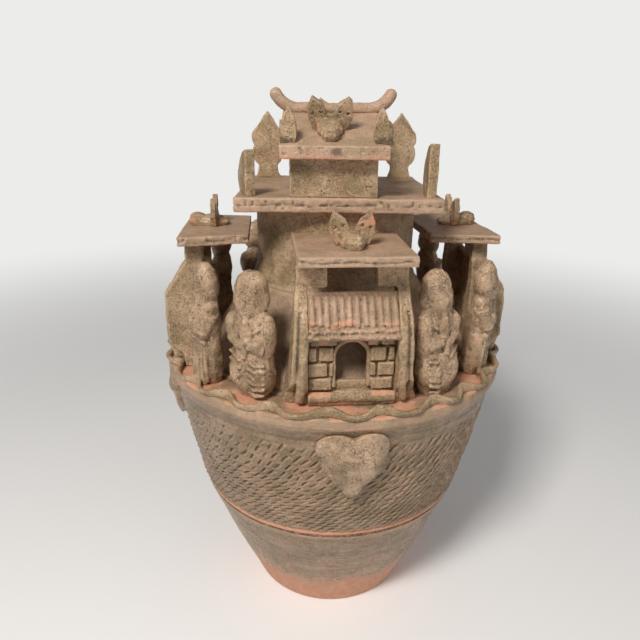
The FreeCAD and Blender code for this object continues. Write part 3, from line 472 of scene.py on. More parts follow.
def make_neck():
    """The neck, a little uneven and pitted."""
    outside = [
        (NECK_FOOT_RADIUS, NECK_FOOT_HEIGHT), (66.6, NECK_FOOT_HEIGHT + 8),
        (NECK_RADIUS, NECK_FOOT_HEIGHT + 16), (NECK_RADIUS, NECK_TOP),
    ]
    inside = [
        (NECK_RADIUS - NECK_WALL, NECK_TOP), (NECK_RADIUS - NECK_WALL, NECK_FOOT_HEIGHT + 16),
        (NECK_FOOT_RADIUS - NECK_WALL, NECK_FOOT_HEIGHT),
    ]
    points, faces, outer = wall_grid(outside, inside, 520, 0.85)
    height = points[:, 2]
    push = 0.4 * noise(points, 20, 51) + 0.16 * noise(points, 2.4, 52) - 0.35 * pits(points, 1.6, 53, 0.35)
    push += 0.2 * noise(points, 3.6, 54, (20, 20, 1))
    edge = held((height - NECK_FOOT_HEIGHT) / 1.5) * held((NECK_TOP - height) / 1.2)
    points = pressed(points, faces, np.where(outer, push * edge, 0))
    bare = np.where(outer, held((height - NECK_TOP + 2) / 2) * 0.8, 0.9)
    finished("neck", points, faces, bare)


FRILL_WAVES = 24
FRILL_RADIUS = 140.0
FRILL_WAVE = 5.2
FRILL_HALF = 1.8
FRILL_TALL = 7.6


def make_frill():
    """The pinched strip: a ribbon on edge in uneven waves, low at each crest."""
    steps = FRILL_WAVES * 36
    turn = np.linspace(0, 2 * math.pi, steps, endpoint=False)
    circle = np.stack([np.cos(turn), np.sin(turn), turn * 0], axis=1)
    uneven = noise(circle * 140, 60, 61) * 1.5 + noise(circle * 140, 25, 67) * 0.5
    wave = np.cos(FRILL_WAVES * turn + uneven)
    wave += 0.25 * (1 - wave ** 2)
    size = FRILL_WAVE * (0.86 + 0.16 * noise(circle * 140, 34, 62))
    tall = FRILL_TALL * (0.86 + 0.12 * noise(circle * 140, 28, 63))
    tall *= 1 - 0.4 * held(wave * 0.5 + 0.5) ** 2
    half = FRILL_HALF * (1.0 + 0.18 * noise(circle * 140, 20, 68))
    right = [(0.5, 0.97), (0.9, 0.88), (1.1, 0.74), (1.1, 0.55), (1.05, 0.35), (1.0, 0.15), (0.9, -0.1)]
    section = [(-side, rise) for side, rise in reversed(right)] + [(0, 1.0), *right, (0, -0.1)]
    rings = []
    for side, rise in section:
        reach = FRILL_RADIUS + size * wave * (0.6 + 0.4 * rise) + side * half
        across, along = reach * circle[:, 0], reach * circle[:, 1]
        rings.append(np.stack([across, along, LEDGE_HEIGHT + tall * rise], axis=1))
    points = np.stack(rings, axis=1).reshape(-1, 3)
    count = len(section)
    here = np.arange(steps)[:, None] * count + np.arange(count)
    there = np.roll(here, -1, axis=0)
    faces = np.stack([here, there, np.roll(there, -1, axis=1), np.roll(here, -1, axis=1)], axis=-1)
    faces = faces.reshape(-1, 4)
    push = 0.35 * noise(points, 7, 64) + 0.15 * noise(points, 2.4, 65)
    push *= held((points[:, 2] - LEDGE_HEIGHT) / 1.5)
    points = pressed(points, faces, push)
    bare = held(0.75 * noise(points, 13, 66) - 0.1)
    hollow = held(LEDGE_HEIGHT + 2.5 - points[:, 2]) * 0.2 - 0.12
    finished("frill", points, faces, bare, hollow, "frill_strip")


# Pieces made round their own node

def low_edge(points, spread=2.5):
    """From 0 to 1 towards the lowest part of a piece."""
    return held((points[:, 2].min() + spread - points[:, 2]) / spread)


def kept_inside(points, node, slack=0.0):
    """Points held within their node's own box."""
    low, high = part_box(node)
    return np.clip(points, np.array(low) / MM - slack, np.array(high) / MM + slack)


def make_heart(side, seed):
    """A heart-shaped lump pressed on the wall: two full lobes and a long nose, domed and glazed."""
    node = f"heart_boss_{side}"
    turn = about_axis(SIDES[side])
    lobes = [
        ball((-11.5, -140.5, 203.0), (13.0, 5.5, 12.5), tilt=-12),
        ball((11.5, -140.5, 203.0), (13.0, 5.5, 12.5), tilt=-12),
        ball((0, -136.5, 182.0), (10.0, 6.5, 20.0), tilt=-12),
    ]
    points, faces = merged([node_shape(node)] + moved(lobes, turn), 0.8, 14)
    local = put(points, turn.inverted())
    spread = np.hypot(local[:, 0] / 28.0, (local[:, 2] - 193.0) / 36.0)
    out = np.clip(np.hypot(local[:, 0], local[:, 1]) - belly_radius(local[:, 2]), 0, None)
    sunk = out * 0.5 * np.clip(spread, 0, 1.1) ** 2.4
    points[:, :2] *= (1 - sunk / np.hypot(points[:, 0], points[:, 1]))[:, None]
    points = clay(points, faces, seed, lump=0.7, rough=0.13, pit=0.3)
    finished(node, points, faces, held(0.4 * noise(points, 9, seed + 4) - 0.15))


def gate_place(side):
    """From a gate's own place, as drawn at the front, to where it stands on the jar."""
    return about_axis(SIDES[side]) @ Matrix.Translation((0, -SIDE_SHIFT if side in SIDE_GATES else 0, 0))


def make_post(side, hand, seed):
    """A tower's side: a rolled slab with a fold along its outer edge, and a flared foot."""
    node = f"{side}_tower_{hand}_post"
    place = gate_place(side)
    shapes = moved([node_shape(node)], place.inverted())
    way = 1 if hand == "right" else -1
    edge = [(33.6, -124.6, 286.0), (34.4, -126.0, 268.0), (35.0, -125.6, 250.0), (37.0, -121.5, 236.0)]
    for start, end in zip(edge, edge[1:]):
        shapes.append(rod((start[0] * way, *start[1:]), (end[0] * way, *end[1:]), 3.4, 3.4))
    shapes += [ball((x * way, y, z), (3.4, 3.4, 3.4)) for x, y, z in edge]
    points, faces = merged(shapes, 0.75, 5)
    facing = normals(points, faces)
    fold_at = 39.0 + (points[:, 2] - 262) * -0.07 + noise(points, 22, seed + 5) * 1.4
    fold = np.exp(-((np.abs(points[:, 0]) - fold_at) / 1.2) ** 2)
    fold *= (points[:, 1] < -110) * (points[:, 2] < 300)
    points = points - facing * (1.1 * fold)[:, None]
    points = put(clay(points, faces, seed, lump=0.8, rough=0.25, pit=0.4), place)
    low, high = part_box(node)
    points[:, 2] = np.clip(points[:, 2], low[2] / MM, high[2] / MM - 0.2)
    top = high[2] / MM
    bare = held((points[:, 2] - top + 4.5) / 3 + noise(points, 6, seed + 6) * 0.3)
    bare = np.maximum(bare, low_edge(points) * 0.6)
    finished(node, points, faces, bare)


ARCH_SPRING = 266.0
ARCH_FOOT = 246.5
ARCH_LINE = 12.2
COURSE_TOPS = (280.5, 272.9, 261.0, 249.6)
COURSE_TALL = (5.6, 9.6, 9.2, 8.4)
# Where the bricks of each course start and end, outwards from the arch, for each hand
BRICKS = {
    -1: (
        [(11.0, 29.0)], [(13.2, 22.8), (25.0, 29.8)],
        [(13.4, 15.4), (17.6, 30.4)], [(14.6, 29.8)]),
    1: (
        [(11.0, 17.5), (20.5, 29.6)], [(13.4, 23.4), (25.8, 29.6)],
        [(13.4, 16.4), (18.6, 29.8)], [(14.0, 28.8)]),
}


def make_gate_wall(side, seed):
    """The brick front of a gate: a slab, loose bricks pressed on it, and a band round the arch."""
    node = f"{side}_gate_wall"
    place = gate_place(side)
    slab, triangles = moved([node_shape(node)], place.inverted())[0]
    slab[:, 1] = np.maximum(slab[:, 1], -(WALL_FACE - 2.6))
    shapes = [(slab, triangles)]
    rng = np.random.default_rng(seed)
    for hand, courses in BRICKS.items():
        for ends, top, tall in zip(courses, COURSE_TOPS, COURSE_TALL):
            for near, far in ends:
                x0, x1 = sorted((near * hand, far * hand))
                proud = WALL_FACE + 1.4 + rng.uniform(-0.4, 0.3)
                shapes.append(block((x0, -proud, top - tall), (x1, -113.5, top),
                                    turn=rng.uniform(-2, 2), lean=rng.uniform(-2.0, 2.0)))
    arch_line = [(-ARCH_LINE, ARCH_FOOT - 4)]
    for turn in np.linspace(0, math.pi, 11):
        arch_line.append((-ARCH_LINE * math.cos(turn), ARCH_SPRING + ARCH_LINE * math.sin(turn)))
    arch_line.append((ARCH_LINE, ARCH_FOOT - 4))
    for (x0, z0), (x1, z1) in zip(arch_line, arch_line[1:]):
        thick = 1.5 + rng.uniform(-0.15, 0.25)
        shapes.append(rod((x0, -116.6, z0), (x1, -116.6, z1), thick, thick))
    shapes.append(block((-30.8, -116.4, 276.0), (30.8, -113.0, 283.5)))
    points, faces = modelled(shapes, 0.55, 3, seed, lump=0.3, rough=0.2, pit=0.3, pit_size=1.6)
    bare = np.clip(noise(points, 7, seed + 4) * 0.8 - 0.3, 0, 0.8)
    level = held((points[:, 2] - 272) / 6)
    bare = np.maximum(bare, level * held(0.45 + noise(points, 7, seed + 5)))
    points = put(points, place)
    finished(node, kept_inside(points, node, 0.3), faces, bare)


def make_sill(side, seed):
    """The step under the bricks: rounded, bare on top at both ends, with a lump in the middle."""
    node = f"{side}_gate_sill"
    place = gate_place(side)
    shapes = moved([node_shape(node)], place.inverted())
    shapes.append(rod((-31.0, -121.6, 236.2), (31.0, -121.6, 236.2), 3.6, 3.6))
    shapes.append(rod((-31.0, -120.8, 232.6), (31.0, -120.8, 232.6), 2.6, 2.6))
    shapes.append(ball((-1.0, -119.4, 239.0), (14.0, 3.2, 3.4)))
    points, faces = modelled(shapes, 0.6, 4, seed, lump=0.5, rough=0.2, pit=0.3)
    far = held((np.abs(points[:, 0] + 1) - 12) / 4)
    bare = far * held((points[:, 2] - 237.6) / 1.6 + 0.3 * noise(points, 5, seed + 4))
    finished(node, put(points, place), faces, bare)


TILE_ROLLS = 12
ROLL_START = 5.0
ROLL_END = 23.0
STRIP_START = 25.5


def make_tiles(side, seed):
    """The tiled roof over a gate: a smooth strip, uneven rolls, and a crumpled strip along the eave."""
    node = f"{side}_gate_tiles"
    rng = np.random.default_rng(seed)
    place = gate_place(side)
    top = np.array((0, -TILE_TOP_RADIUS, TILE_TOP_HEIGHT))
    eave = np.array((0, -EAVE_RADIUS, EAVE_HEIGHT))
    reach = np.linalg.norm(eave - top)
    down = (eave - top) / reach
    out = np.array((0, down[2], -down[1]))
    shapes = moved([node_shape(node)], place.inverted())
    flat = shapes[0][0]
    above = np.clip((flat - top) @ out, -0.4, None)
    shapes[0] = (flat - out * (above + 0.4)[:, None], shapes[0][1])
    pitch = GATE_HALF * 2 / TILE_ROLLS
    for number in range(TILE_ROLLS):
        x = -GATE_HALF + pitch * (number + 0.5)
        tip = x + rng.uniform(-0.5, 0.5)
        start = top + np.array((x, 0, 0)) + down * (ROLL_START + rng.uniform(-1, 1)) - out * 0.8
        end = top + np.array((tip, 0, 0)) + down * (ROLL_END + rng.uniform(-1.3, 1.0)) + out * 0.1
        shapes.append(rod(start, end, rng.uniform(1.7, 2.0), 2.3))
        shapes += [ball(end, (2.2, 2.2, 2.2)), ball(start, (1.9, 1.9, 1.9))]
    for number in range(26):
        x = -GATE_HALF + 1.5 + 2.36 * number
        for row in range(2):
            along = STRIP_START + 2.0 + row * 4.2 + rng.uniform(-0.8, 0.8)
            spot = top + np.array((x, 0, 0)) + down * min(along, reach - 1.6) + out * rng.uniform(-0.6, 0.3)
            shapes.append(ball(spot, (rng.uniform(1.6, 2.5), 2.2, 1.7), turn=rng.uniform(-30, 30)))
    points, faces = modelled(shapes, 0.5, 2, seed, lump=0.3, rough=0.2, pit=0.35, pit_size=1.6)
    along = (points - top) @ down
    face = held((points - top) @ out + 1.5)
    bare = held(1.1 - np.abs(along - ROLL_END + 0.6 + noise(points, 5, seed + 4) * 2.0) / 2.6) * face
    bare *= held(0.6 + noise(points, 9, seed + 5) * 1.2)
    hollow = hollows(points, faces)
    hollow += 0.12 * held((along - STRIP_START) / 2) * held(noise(points, 3, seed + 6) + 0.3)
    points = put(points, place)
    finished(node, kept_inside(points, node, 0.5), faces, bare, hollow)


def make_slab(node, seed, voxel=0.8, lump=0.35, edge_pit=0.9, slack=0.25):
    """A rolled slab: nearly smooth on its faces, torn and pitted round its cut edges, bare underneath."""
    points, faces = merged([node_shape(node)], voxel, 3)
    facing = normals(points, faces)
    side = held(1 - np.abs(facing[:, 2]) * 1.6)
    low, high = points[:, 2].min(), points[:, 2].max()
    push = lump * noise(points, 17, seed) + (0.06 + 0.22 * side) * noise(points, 2.8, seed + 1)
    push -= edge_pit * side * pits(points, 2.4, seed + 2, 0.25)
    middle = (low + high) / 2 + noise(points, 12, seed + 3) * 1.2
    split = np.exp(-((points[:, 2] - middle) / 0.8) ** 2) * (noise(points, 16, seed + 4) > -0.3)
    push -= 0.7 * side * split
    push += 0.35 * side * noise(points, 4.5, seed + 6, (1, 1, 0.5))
    points = points + facing * push[:, None]
    under = held(-facing[:, 2] * 2 - 0.4)
    lowest = held((low + 1.6 - points[:, 2]) / 1.2) * side
    finished(node, kept_inside(points, node, slack), faces, np.maximum(under, lowest * 0.9))


def dove_lumps():
    """Clay added to a dove's plain shape: a low breast and back, a pinched beak, and wide wing roots."""
    return [
        ball((0, 1.5, 3.2), (9.0, 12.0, 4.2)),
        ball((0, -8.0, 4.2), (6.2, 6.6, 4.2), tilt=-10),
        rod((0.3, -8.0, 5.0), (1.6, -15.0, 2.6), 4.4, 2.0),
        ball((-7.6, 3.4, 6.4), (6.2, 3.1, 5.6), lean=-14),
        ball((7.6, 3.4, 6.4), (6.2, 3.1, 5.6), lean=14),
        rod((-4.0, 2.4, 7.0), (4.0, 2.4, 7.0), 3.0, 3.0),
        ball((0, 11.0, 2.8), (5.8, 4.8, 2.6)),
    ]


def make_dove(node, matrix, seed):
    """A pinched dove: its wings stay pierced, because the lumps keep clear of the holes."""
    lumps = dove_lumps()
    for points, _ in lumps:
        points[:, 2] = np.minimum(points[:, 2], 9.2)
    shapes = [node_shape(node)] + moved(lumps, matrix)
    points, faces = modelled(shapes, 0.5, 2, seed, lump=0.5, rough=0.25, pit=0.3, pit_size=1.6)
    low = points[:, 2].min()
    bare = held(1.0 * noise(points, 6, seed + 4) - 0.05)
    pooled = held((low + 3.5 - points[:, 2]) / 4)
    hollow = hollows(points, faces) + pooled * 0.3
    finished(node, points, faces, bare * (1 - pooled), hollow)


def dove_matrix(side):
    perch = TOWER_ROOF_TOP - (SIDE_DROP if side in SIDE_GATES else 0)
    return about_axis(SIDES[side]) @ Matrix.Translation((0, -103.0, perch))


# Figures

def figure_matrix(name):
    turn, radius, lean = FIGURES[name]
    return (
        about_axis(turn)
        @ Matrix.Translation((0, -radius, LEDGE_HEIGHT - 0.9))
        @ Matrix.Rotation(math.radians(-lean), 4, "X")
    )


def generic_head(middle, size):
    """A calm, plain head: an egg with a soft nose, mouth, chin, brow, cheeks and ears, like nobody's."""
    lumps = [
        ((0, 0, 0), (1, 1, 1)), ((0, -0.86, 0.02), (0.16, 0.26, 0.26)),
        ((0, -0.78, -0.34), (0.24, 0.16, 0.07)), ((0, -0.6, -0.6), (0.34, 0.3, 0.18)),
    ]
    for hand in (-1, 1):
        lumps += [
            ((0.36 * hand, -0.72, 0.24), (0.3, 0.2, 0.09)), ((0.42 * hand, -0.62, -0.16), (0.28, 0.24, 0.2)),
            ((0.98 * hand, 0, -0.02), (0.14, 0.3, 0.26)),
        ]
    middle, size = np.array(middle), np.array(size)
    return [ball(middle + size * spot, size * radii) for spot, radii in lumps]


def piper_lumps(way):
    """A kneeling piper: round cap and head, sleeves bent to the pipe, broad lap and robe folds."""
    lumps = generic_head((-0.6 * way, -1.6, 71.0), (12.4, 8.6, 13.0))
    lumps += [
        ball((0, 0.2, 74.5), (15.2, 8.6, 13.0)),
        ball((0, 0.6, 84.0), (12.4, 8.0, 8.4)),
        ball((0, 0.6, 52.0), (15.4, 8.4, 13.0)),
        ball((-14.2 * way, -2.4, 52.0), (6.0, 6.6, 10.5), lean=-10),
        ball((13.6 * way, -1.2, 47.0), (6.2, 7.4, 17.5), lean=4),
        rod((-14.0 * way, -4.6, 45), (-3.0 * way, -9.6, 41), 5.0, 3.6),
        rod((13.4 * way, -4.6, 40), (3.0 * way, -9.6, 43), 5.4, 3.6),
        ball((-2.6 * way, -9.8, 42), (4.2, 2.8, 3.6)),
        ball((2.6 * way, -9.6, 46), (4.0, 2.8, 3.4)),
        rod((-0.4 * way, -10.0, 32), (0, -9.2, 60), 2.3, 1.7),
        ball((0, -0.6, 30.0), (15.6, 9.0, 12.0)),
        ball((-10.0 * way, -2.0, 19.0), (8.2, 9.2, 14.0)),
        ball((9.4 * way, -2.0, 18.0), (8.6, 9.2, 13.0)),
        ball((0, -1.6, 11.0), (15.0, 9.4, 10.5)),
    ]
    for number in range(6):
        height = 5 + 4.6 * number
        reach = 10.6 - 0.08 * abs(height - 16)
        side = 8.6 * way
        lumps.append(rod((side - 7.4, -reach * 0.86, height + 1.6), (side, -reach, height - 0.4), 1.2, 1.4))
        lumps.append(rod((side, -reach, height - 0.4), (side + 7.0, -reach * 0.8, height + 0.8), 1.4, 1.0))
    for number in range(4):
        height = 29 - 6 * number
        lumps.append(rod((-17.0 * way, -4.8, height + 5), (-4.0 * way, -10.2, height), 1.5, 1.1))
    for number in range(3):
        height = 58 - 5.5 * number
        lumps.append(rod((15.6 * way, -5.0, height), (7.0 * way, -8.6, height - 6.0), 1.4, 1.1))
    return lumps


def attendant_lumps():
    """A kneeling attendant: hood, head, clasped sleeves, sash, and long folds down the robe."""
    lumps = generic_head((0, -2.4, 72.5), (9.6, 7.8, 11.5))
    lumps += [
        ball((0, -0.6, 75.5), (12.2, 8.6, 13.0)),
        ball((0, -0.2, 83.5), (9.2, 7.2, 8.0)),
        ball((0, -0.2, 50.0), (13.2, 8.6, 15.0)),
        *(rod((11.4 * hand, -2.8, 58), (6.4 * hand, -8.0, 42), 5.6, 4.8) for hand in (-1, 1)),
        ball((0, -8.6, 45), (8.6, 3.8, 5.4)),
        ball((0, -9.8, 49), (4.8, 2.6, 3.4)),
        ball((0, -1.0, 28), (13.2, 9.2, 15.0)),
        ball((0, -1.4, 12), (12.2, 9.0, 13.0)),
        rod((-9.4, -8.4, 36), (9.4, -8.4, 35), 1.8, 1.8),
    ]
    for number in range(5):
        x = -9.0 + 4.5 * number
        lumps.append(rod((x * 0.8, -9.0 + abs(x) * 0.12, 33), (x, -10.0 + abs(x) * 0.2, 4.0), 1.2, 1.7))
    return lumps + [ball((5.0 * hand, -8.4, 4.0), (4.8, 3.0, 3.8)) for hand in (-1, 1)]


def make_figure(node, seed):
    """A press-moulded figure, thickly glazed and pitted so that its modelling only half shows."""
    way = -1 if node.startswith(("front_right", "back_left")) else 1
    lumps = piper_lumps(way) if node.endswith("piper") else attendant_lumps()
    shapes = [node_shape(node)] + moved(lumps, figure_matrix(node))
    points, faces = modelled(shapes, 0.68, 4, seed, lump=0.8, rough=0.3, pit=0.3, pit_size=2.4)
    low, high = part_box(node)
    points[:, 2] = np.clip(points[:, 2], low[2] / MM, high[2] / MM + 0.4)
    bare = np.clip(0.9 * noise(points, 9, seed + 4) - 0.5, 0, 0.8)
    bare = np.maximum(bare, low_edge(points) * 0.6)
    finished(node, points, faces, bare)


# The lid

def make_ring():
    node = "lid_locating_ring"
    points, faces = modelled([node_shape(node)], 0.8, 3, 311, lump=0.2, rough=0.1, pit=0.2)
    finished(node, kept_inside(points, node), faces, np.ones(len(points)), name="lid_ring_clay")


def make_pavilion_walls():
    """The walls of the pavilion, scored and coarsely speckled."""
    node = "pavilion_walls"
    points, faces = modelled([node_shape(node)], 0.7, 3, 321, lump=0.3, rough=0.2, pit=0.4, pit_size=1.7)
    scratch = held(noise(points, 4.5, 325, (1, 1, 0.3)) - 0.55) * held(noise(points, 18, 326))
    points = pressed(points, faces, -2.2 * scratch)
    points = kept_inside(points, node, 0.3)
    finished(node, points, faces, low_edge(points, 1.6) * 0.5)


def make_pavilion_roof():
    """The pavilion's roof: smooth slopes, and a front edge whose lower lip wavers."""
    node = "pavilion_roof"
    points, faces = merged([node_shape(node)], 0.7, 3)
    facing = normals(points, faces)
    side = held(1 - np.abs(facing[:, 2]) * 1.6)
    push = 0.35 * noise(points, 16, 331) + (0.05 + 0.2 * side) * noise(points, 2.6, 332)
    push -= side * (0.8 * pits(points, 2.6, 333, 0.2))
    low = points[:, 2].min()
    lip = held((low + 4.5 - points[:, 2]) / 4.5)
    points = points + facing * push[:, None]
    points[:, 2] += lip * side * (1.3 + 1.3 * noise(points, 9, 334))
    points = kept_inside(points, node, 0.3)
    under = held(-facing[:, 2] * 2 - 0.4)
    bare = np.maximum(under, lip * side * held(0.7 + noise(points, 6, 335)))
    hollow = hollows(points, faces, facing) + side * (1 - lip) * held(noise(points, 8, 336) + 0.1) * 0.6
    finished(node, points, faces, bare, hollow)


def make_ridge():
    node = "roof_ridge"
    points, faces = modelled([node_shape(node)], 0.6, 3, 341, lump=0.5, rough=0.18, pit=0.3)
    points[:, 2] = np.minimum(points[:, 2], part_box(node)[1][2] / MM)
    finished(node, points, faces, held(noise(points, 7, 344) * 0.5 - 0.1))


def make_finials():
    """Four leaf-shaped lumps: a keel down the front of each, and glaze pooled at its foot."""
    node = "roof_finials"
    shapes = [node_shape(node)]
    points, _ = shapes[0]
    low, high = points.min(axis=0), points.max(axis=0)
    for x, y in itertools.product((-41.3, 31.2), (-75.9, 16.9)):
        lump = [
            ball((x, y, 411.0), (4.6, 3.6, 9.0)),
            ball((x, y - 2.0, 410.0), (1.6, 2.2, 8.0)),
            ball((x, y, 405.0), (5.4, 4.2, 4.0)),
        ]
        shapes += moved(lump, about_axis(LID_TURN))
    points, faces = modelled(shapes, 0.5, 2, 351, lump=0.3, rough=0.2, pit=0.3)
    points = np.clip(points, low - 0.3, high + 0.3)
    foot = held((411 - points[:, 2]) / 5)
    hollow = hollows(points, faces) + foot * 0.45
    bare = held(noise(points, 4, 354) * 0.7) * (1 - foot)
    finished(node, points, faces, bare, hollow)


def make_corner_slab(node, seed):
    points, faces = merged([node_shape(node)], 0.6, 3)
    facing = normals(points, faces)
    flat = np.abs(facing[:, 1])
    rim = held(1 - flat * 1.3) if node.startswith("back") else held(flat * 1.2)
    push = 0.4 * noise(points, 11, seed) + (0.08 + 0.25 * rim) * noise(points, 2.6, seed + 1)
    push -= rim * 0.9 * pits(points, 2.6, seed + 2, 0.2)
    points = points + facing * push[:, None]
    points[:, 2] = np.maximum(points[:, 2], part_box(node)[0][2] / MM)
    bare = held(noise(points, 9, seed + 4) * 0.6 - 0.1 - rim * 0.2)
    finished(node, points, faces, bare)


# Materials

MIX_FROM = 6
MIX_TO = 7
MIX_RESULT = 2


class Shader:
    """A material's nodes, added one after another."""

    def __init__(self, name):
        self.material = bpy.data.materials.new(name)
        self.material.use_nodes = True
        self.tree = self.material.node_tree
        self.surface = self.tree.nodes["Principled BSDF"]
        self.place = self.add("TexCoord").outputs["Object"]

    def feed(self, socket, value):
        """Gives a socket a number or colour, or links another node's socket to it."""
        if isinstance(value, bpy.types.NodeSocket):
            self.tree.links.new(value, socket)
        else:
            socket.default_value = value

    def add(self, kind, **values):
        """A new node, with what goes into its sockets."""
        made = self.tree.nodes.new(f"ShaderNode{kind}")
        for name, value in values.items():
            self.feed(made.inputs[name], value)
        return made

    def stretched(self, scale):
        """The object's own coordinates, stretched."""
        return self.add("Mapping", Vector=self.place, Scale=scale).outputs["Vector"]

    def noise(self, size, detail=3.0, rough=0.55, vector=None):
        """Noise from 0 to 1 whose lumps are about size millimetres across."""
        vector = vector or self.place
        made = self.add("TexNoise", Vector=vector, Scale=1 / (size * MM), Detail=detail, Roughness=rough)
        return made.outputs["Fac"]

    def cracks(self, size):
        """How far a spot lies from the edge of its crackle cell."""
        shift = self.add("TexNoise", Vector=self.place, Scale=1 / (size * 1.4 * MM))
        warp = self.add("VectorMath")
        warp.operation = "MULTIPLY_ADD"
        for number, term in enumerate((shift.outputs["Color"], (size * MM * 0.9,) * 3, self.place)):
            self.feed(warp.inputs[number], term)
        made = self.add("TexVoronoi", Vector=warp.outputs["Vector"], Scale=1 / (size * MM))
        made.feature = "DISTANCE_TO_EDGE"
        return made.outputs["Distance"]

    def value(self, name):
        made = self.add("Attribute")
        made.attribute_name = name
        return made.outputs["Fac"]

    def between(self, source, low, high, out_low=0.0, out_high=1.0):
        """A value mapped smoothly from one range to another, and held there."""
        limits = {"From Min": low, "From Max": high, "To Min": out_low, "To Max": out_high}
        made = self.add("MapRange", Value=source, **limits)
        made.interpolation_type = "SMOOTHSTEP"
        return made.outputs["Result"]

    def sum(self, kind, one, other):
        made = self.add("Math")
        made.operation = kind
        self.feed(made.inputs[0], one)
        self.feed(made.inputs[1], other)
        return made.outputs["Value"]

    def mixed(self, share, one, other):
        """One colour going over to another, by the colour sockets of the mix node."""
        made = self.add("Mix", Factor=share)
        made.data_type = "RGBA"
        self.feed(made.inputs[MIX_FROM], one)
        self.feed(made.inputs[MIX_TO], other)
        return made.outputs[MIX_RESULT]


def colour(red, green, blue):
    """A colour as it looks on the screen, 0 to 255, for a shader."""
    def straight(part):
        part /= 255
        return part / 12.92 if part <= 0.04045 else ((part + 0.055) / 1.055) ** 2.4
    return (straight(red), straight(green), straight(blue), 1.0)


CLAY = colour(206, 146, 114)
CLAY_PALE = colour(216, 168, 140)
CLAY_DARK = colour(166, 112, 84)


def glaze(name, tones, speckle, crackle, gloss, streaks, pink_share):
    """Thin ash glaze: olive and beige drifts, pink where it thins, dark where it pools, specks and cracks.

    speckle, crackle and streaks are strengths from 0 to 1, and gloss is the roughness of its shine.
    """
    made = Shader(name)
    pale, olive, pink, dark = (colour(*tone) for tone in tones)
    hollow, bare = made.value("hollow"), made.value("bare")
    base = made.mixed(made.between(made.noise(24, 4), 0.36, 0.66), pale, olive)
    base = made.mixed(made.between(made.noise(15, 5), 0.5, 0.7, 0.0, pink_share), base, pink)
    if streaks:
        lines = made.noise(3.0, 4, 0.6, made.stretched((0.06, 0.06, 1.0)))
        base = made.mixed(made.between(lines, 0.45, 0.62, 0.0, streaks), base, dark)
    fleck = made.between(made.noise(0.9, 4, 0.75), 0.5, 0.66, 0.0, speckle)
    lines = made.between(made.cracks(2.1), 0.02, 0.1, 1.0, 0.0)
    cracked = made.sum("MULTIPLY", lines, made.between(made.noise(7.0, 3), 0.4, 0.62))
    for share, tone in (
        (made.between(made.noise(2.4, 5, 0.7), 0.42, 0.64, 0.0, 0.45), olive),
        (fleck, dark),
        (made.between(made.noise(0.7, 3, 0.6), 0.55, 0.68, 0.0, speckle), pale),
        (made.sum("MULTIPLY", cracked, crackle), dark),
        (made.between(hollow, 0.04, 0.42, 0.0, 0.75), dark),
        (made.between(hollow, -0.06, -0.34, 0.0, 0.5), pale),
    ):
        base = made.mixed(share, base, tone)
    clay_tone = made.mixed(made.between(made.noise(7, 5, 0.65), 0.4, 0.66), CLAY, CLAY_PALE)
    stained = made.between(made.noise(2.2, 4, 0.7), 0.56, 0.72, 0.0, 0.4)
    clay_tone = made.mixed(stained, clay_tone, CLAY_DARK)
    ragged = made.sum("ADD", bare, made.between(made.noise(3.2, 5, 0.7), 0.3, 0.7, -0.25, 0.25))
    showing = made.between(ragged, 0.25, 0.8)
    base = made.mixed(showing, base, clay_tone)
    made.feed(made.surface.inputs["Base Color"], base)
    shine = made.between(made.noise(5.0, 4, 0.6), 0.42, 0.66, gloss, min(gloss + 0.3, 0.9))
    rough = made.sum("MAXIMUM", shine, made.sum("MULTIPLY", showing, 0.75))
    made.feed(made.surface.inputs["Roughness"], rough)
    made.surface.inputs["Specular IOR Level"].default_value = 0.55
    grain = made.sum("MULTIPLY", made.noise(0.8, 4, 0.7), 0.6)
    bumps = made.sum("SUBTRACT", grain, made.sum("MULTIPLY", fleck, 0.8))
    bumps = made.sum("SUBTRACT", bumps, made.sum("MULTIPLY", cracked, 0.7))
    bump = made.add("Bump", Strength=0.7, Distance=0.5 * MM, Height=bumps)
    made.feed(made.surface.inputs["Normal"], bump.outputs["Normal"])
    return made.material


BODY_OF = {node: body for body, nodes in frame["record"]["behaviour"]["bodies"].items() for node in nodes}
SLOT_OF = {piece["node"]: piece["material_slot"] for piece in frame["record"]["subparts"]}

# Pale, olive, pink and dark tones, then speckle, crackle, gloss, streaks and how pink it gets
GLAZES = {
    "impressed_glaze": (
        ((180, 150, 122), (140, 119, 88), (182, 138, 114), (66, 50, 34)), 0.6, 0.25, 0.2, 0.35, 0.5),
    "slab_glaze": (
        ((204, 174, 140), (146, 124, 88), (198, 152, 124), (64, 49, 33)), 0.85, 0.4, 0.24, 0.0, 0.5),
    "moulded_glaze": (
        ((208, 176, 144), (148, 123, 92), (200, 154, 126), (62, 46, 33)), 0.75, 0.75, 0.1, 0.0, 0.5),
    "matt_glaze": (
        ((196, 164, 138), (166, 140, 110), (196, 152, 128), (84, 66, 48)), 0.5, 0.2, 0.36, 0.0, 0.6),
    "bare_clay": (
        ((184, 154, 126), (142, 120, 92), (194, 148, 122), (80, 62, 45)), 0.5, 0.3, 0.3, 0.0, 0.5),
}
MATERIALS = {slot: glaze(slot, *looks) for slot, looks in GLAZES.items()}


# Building

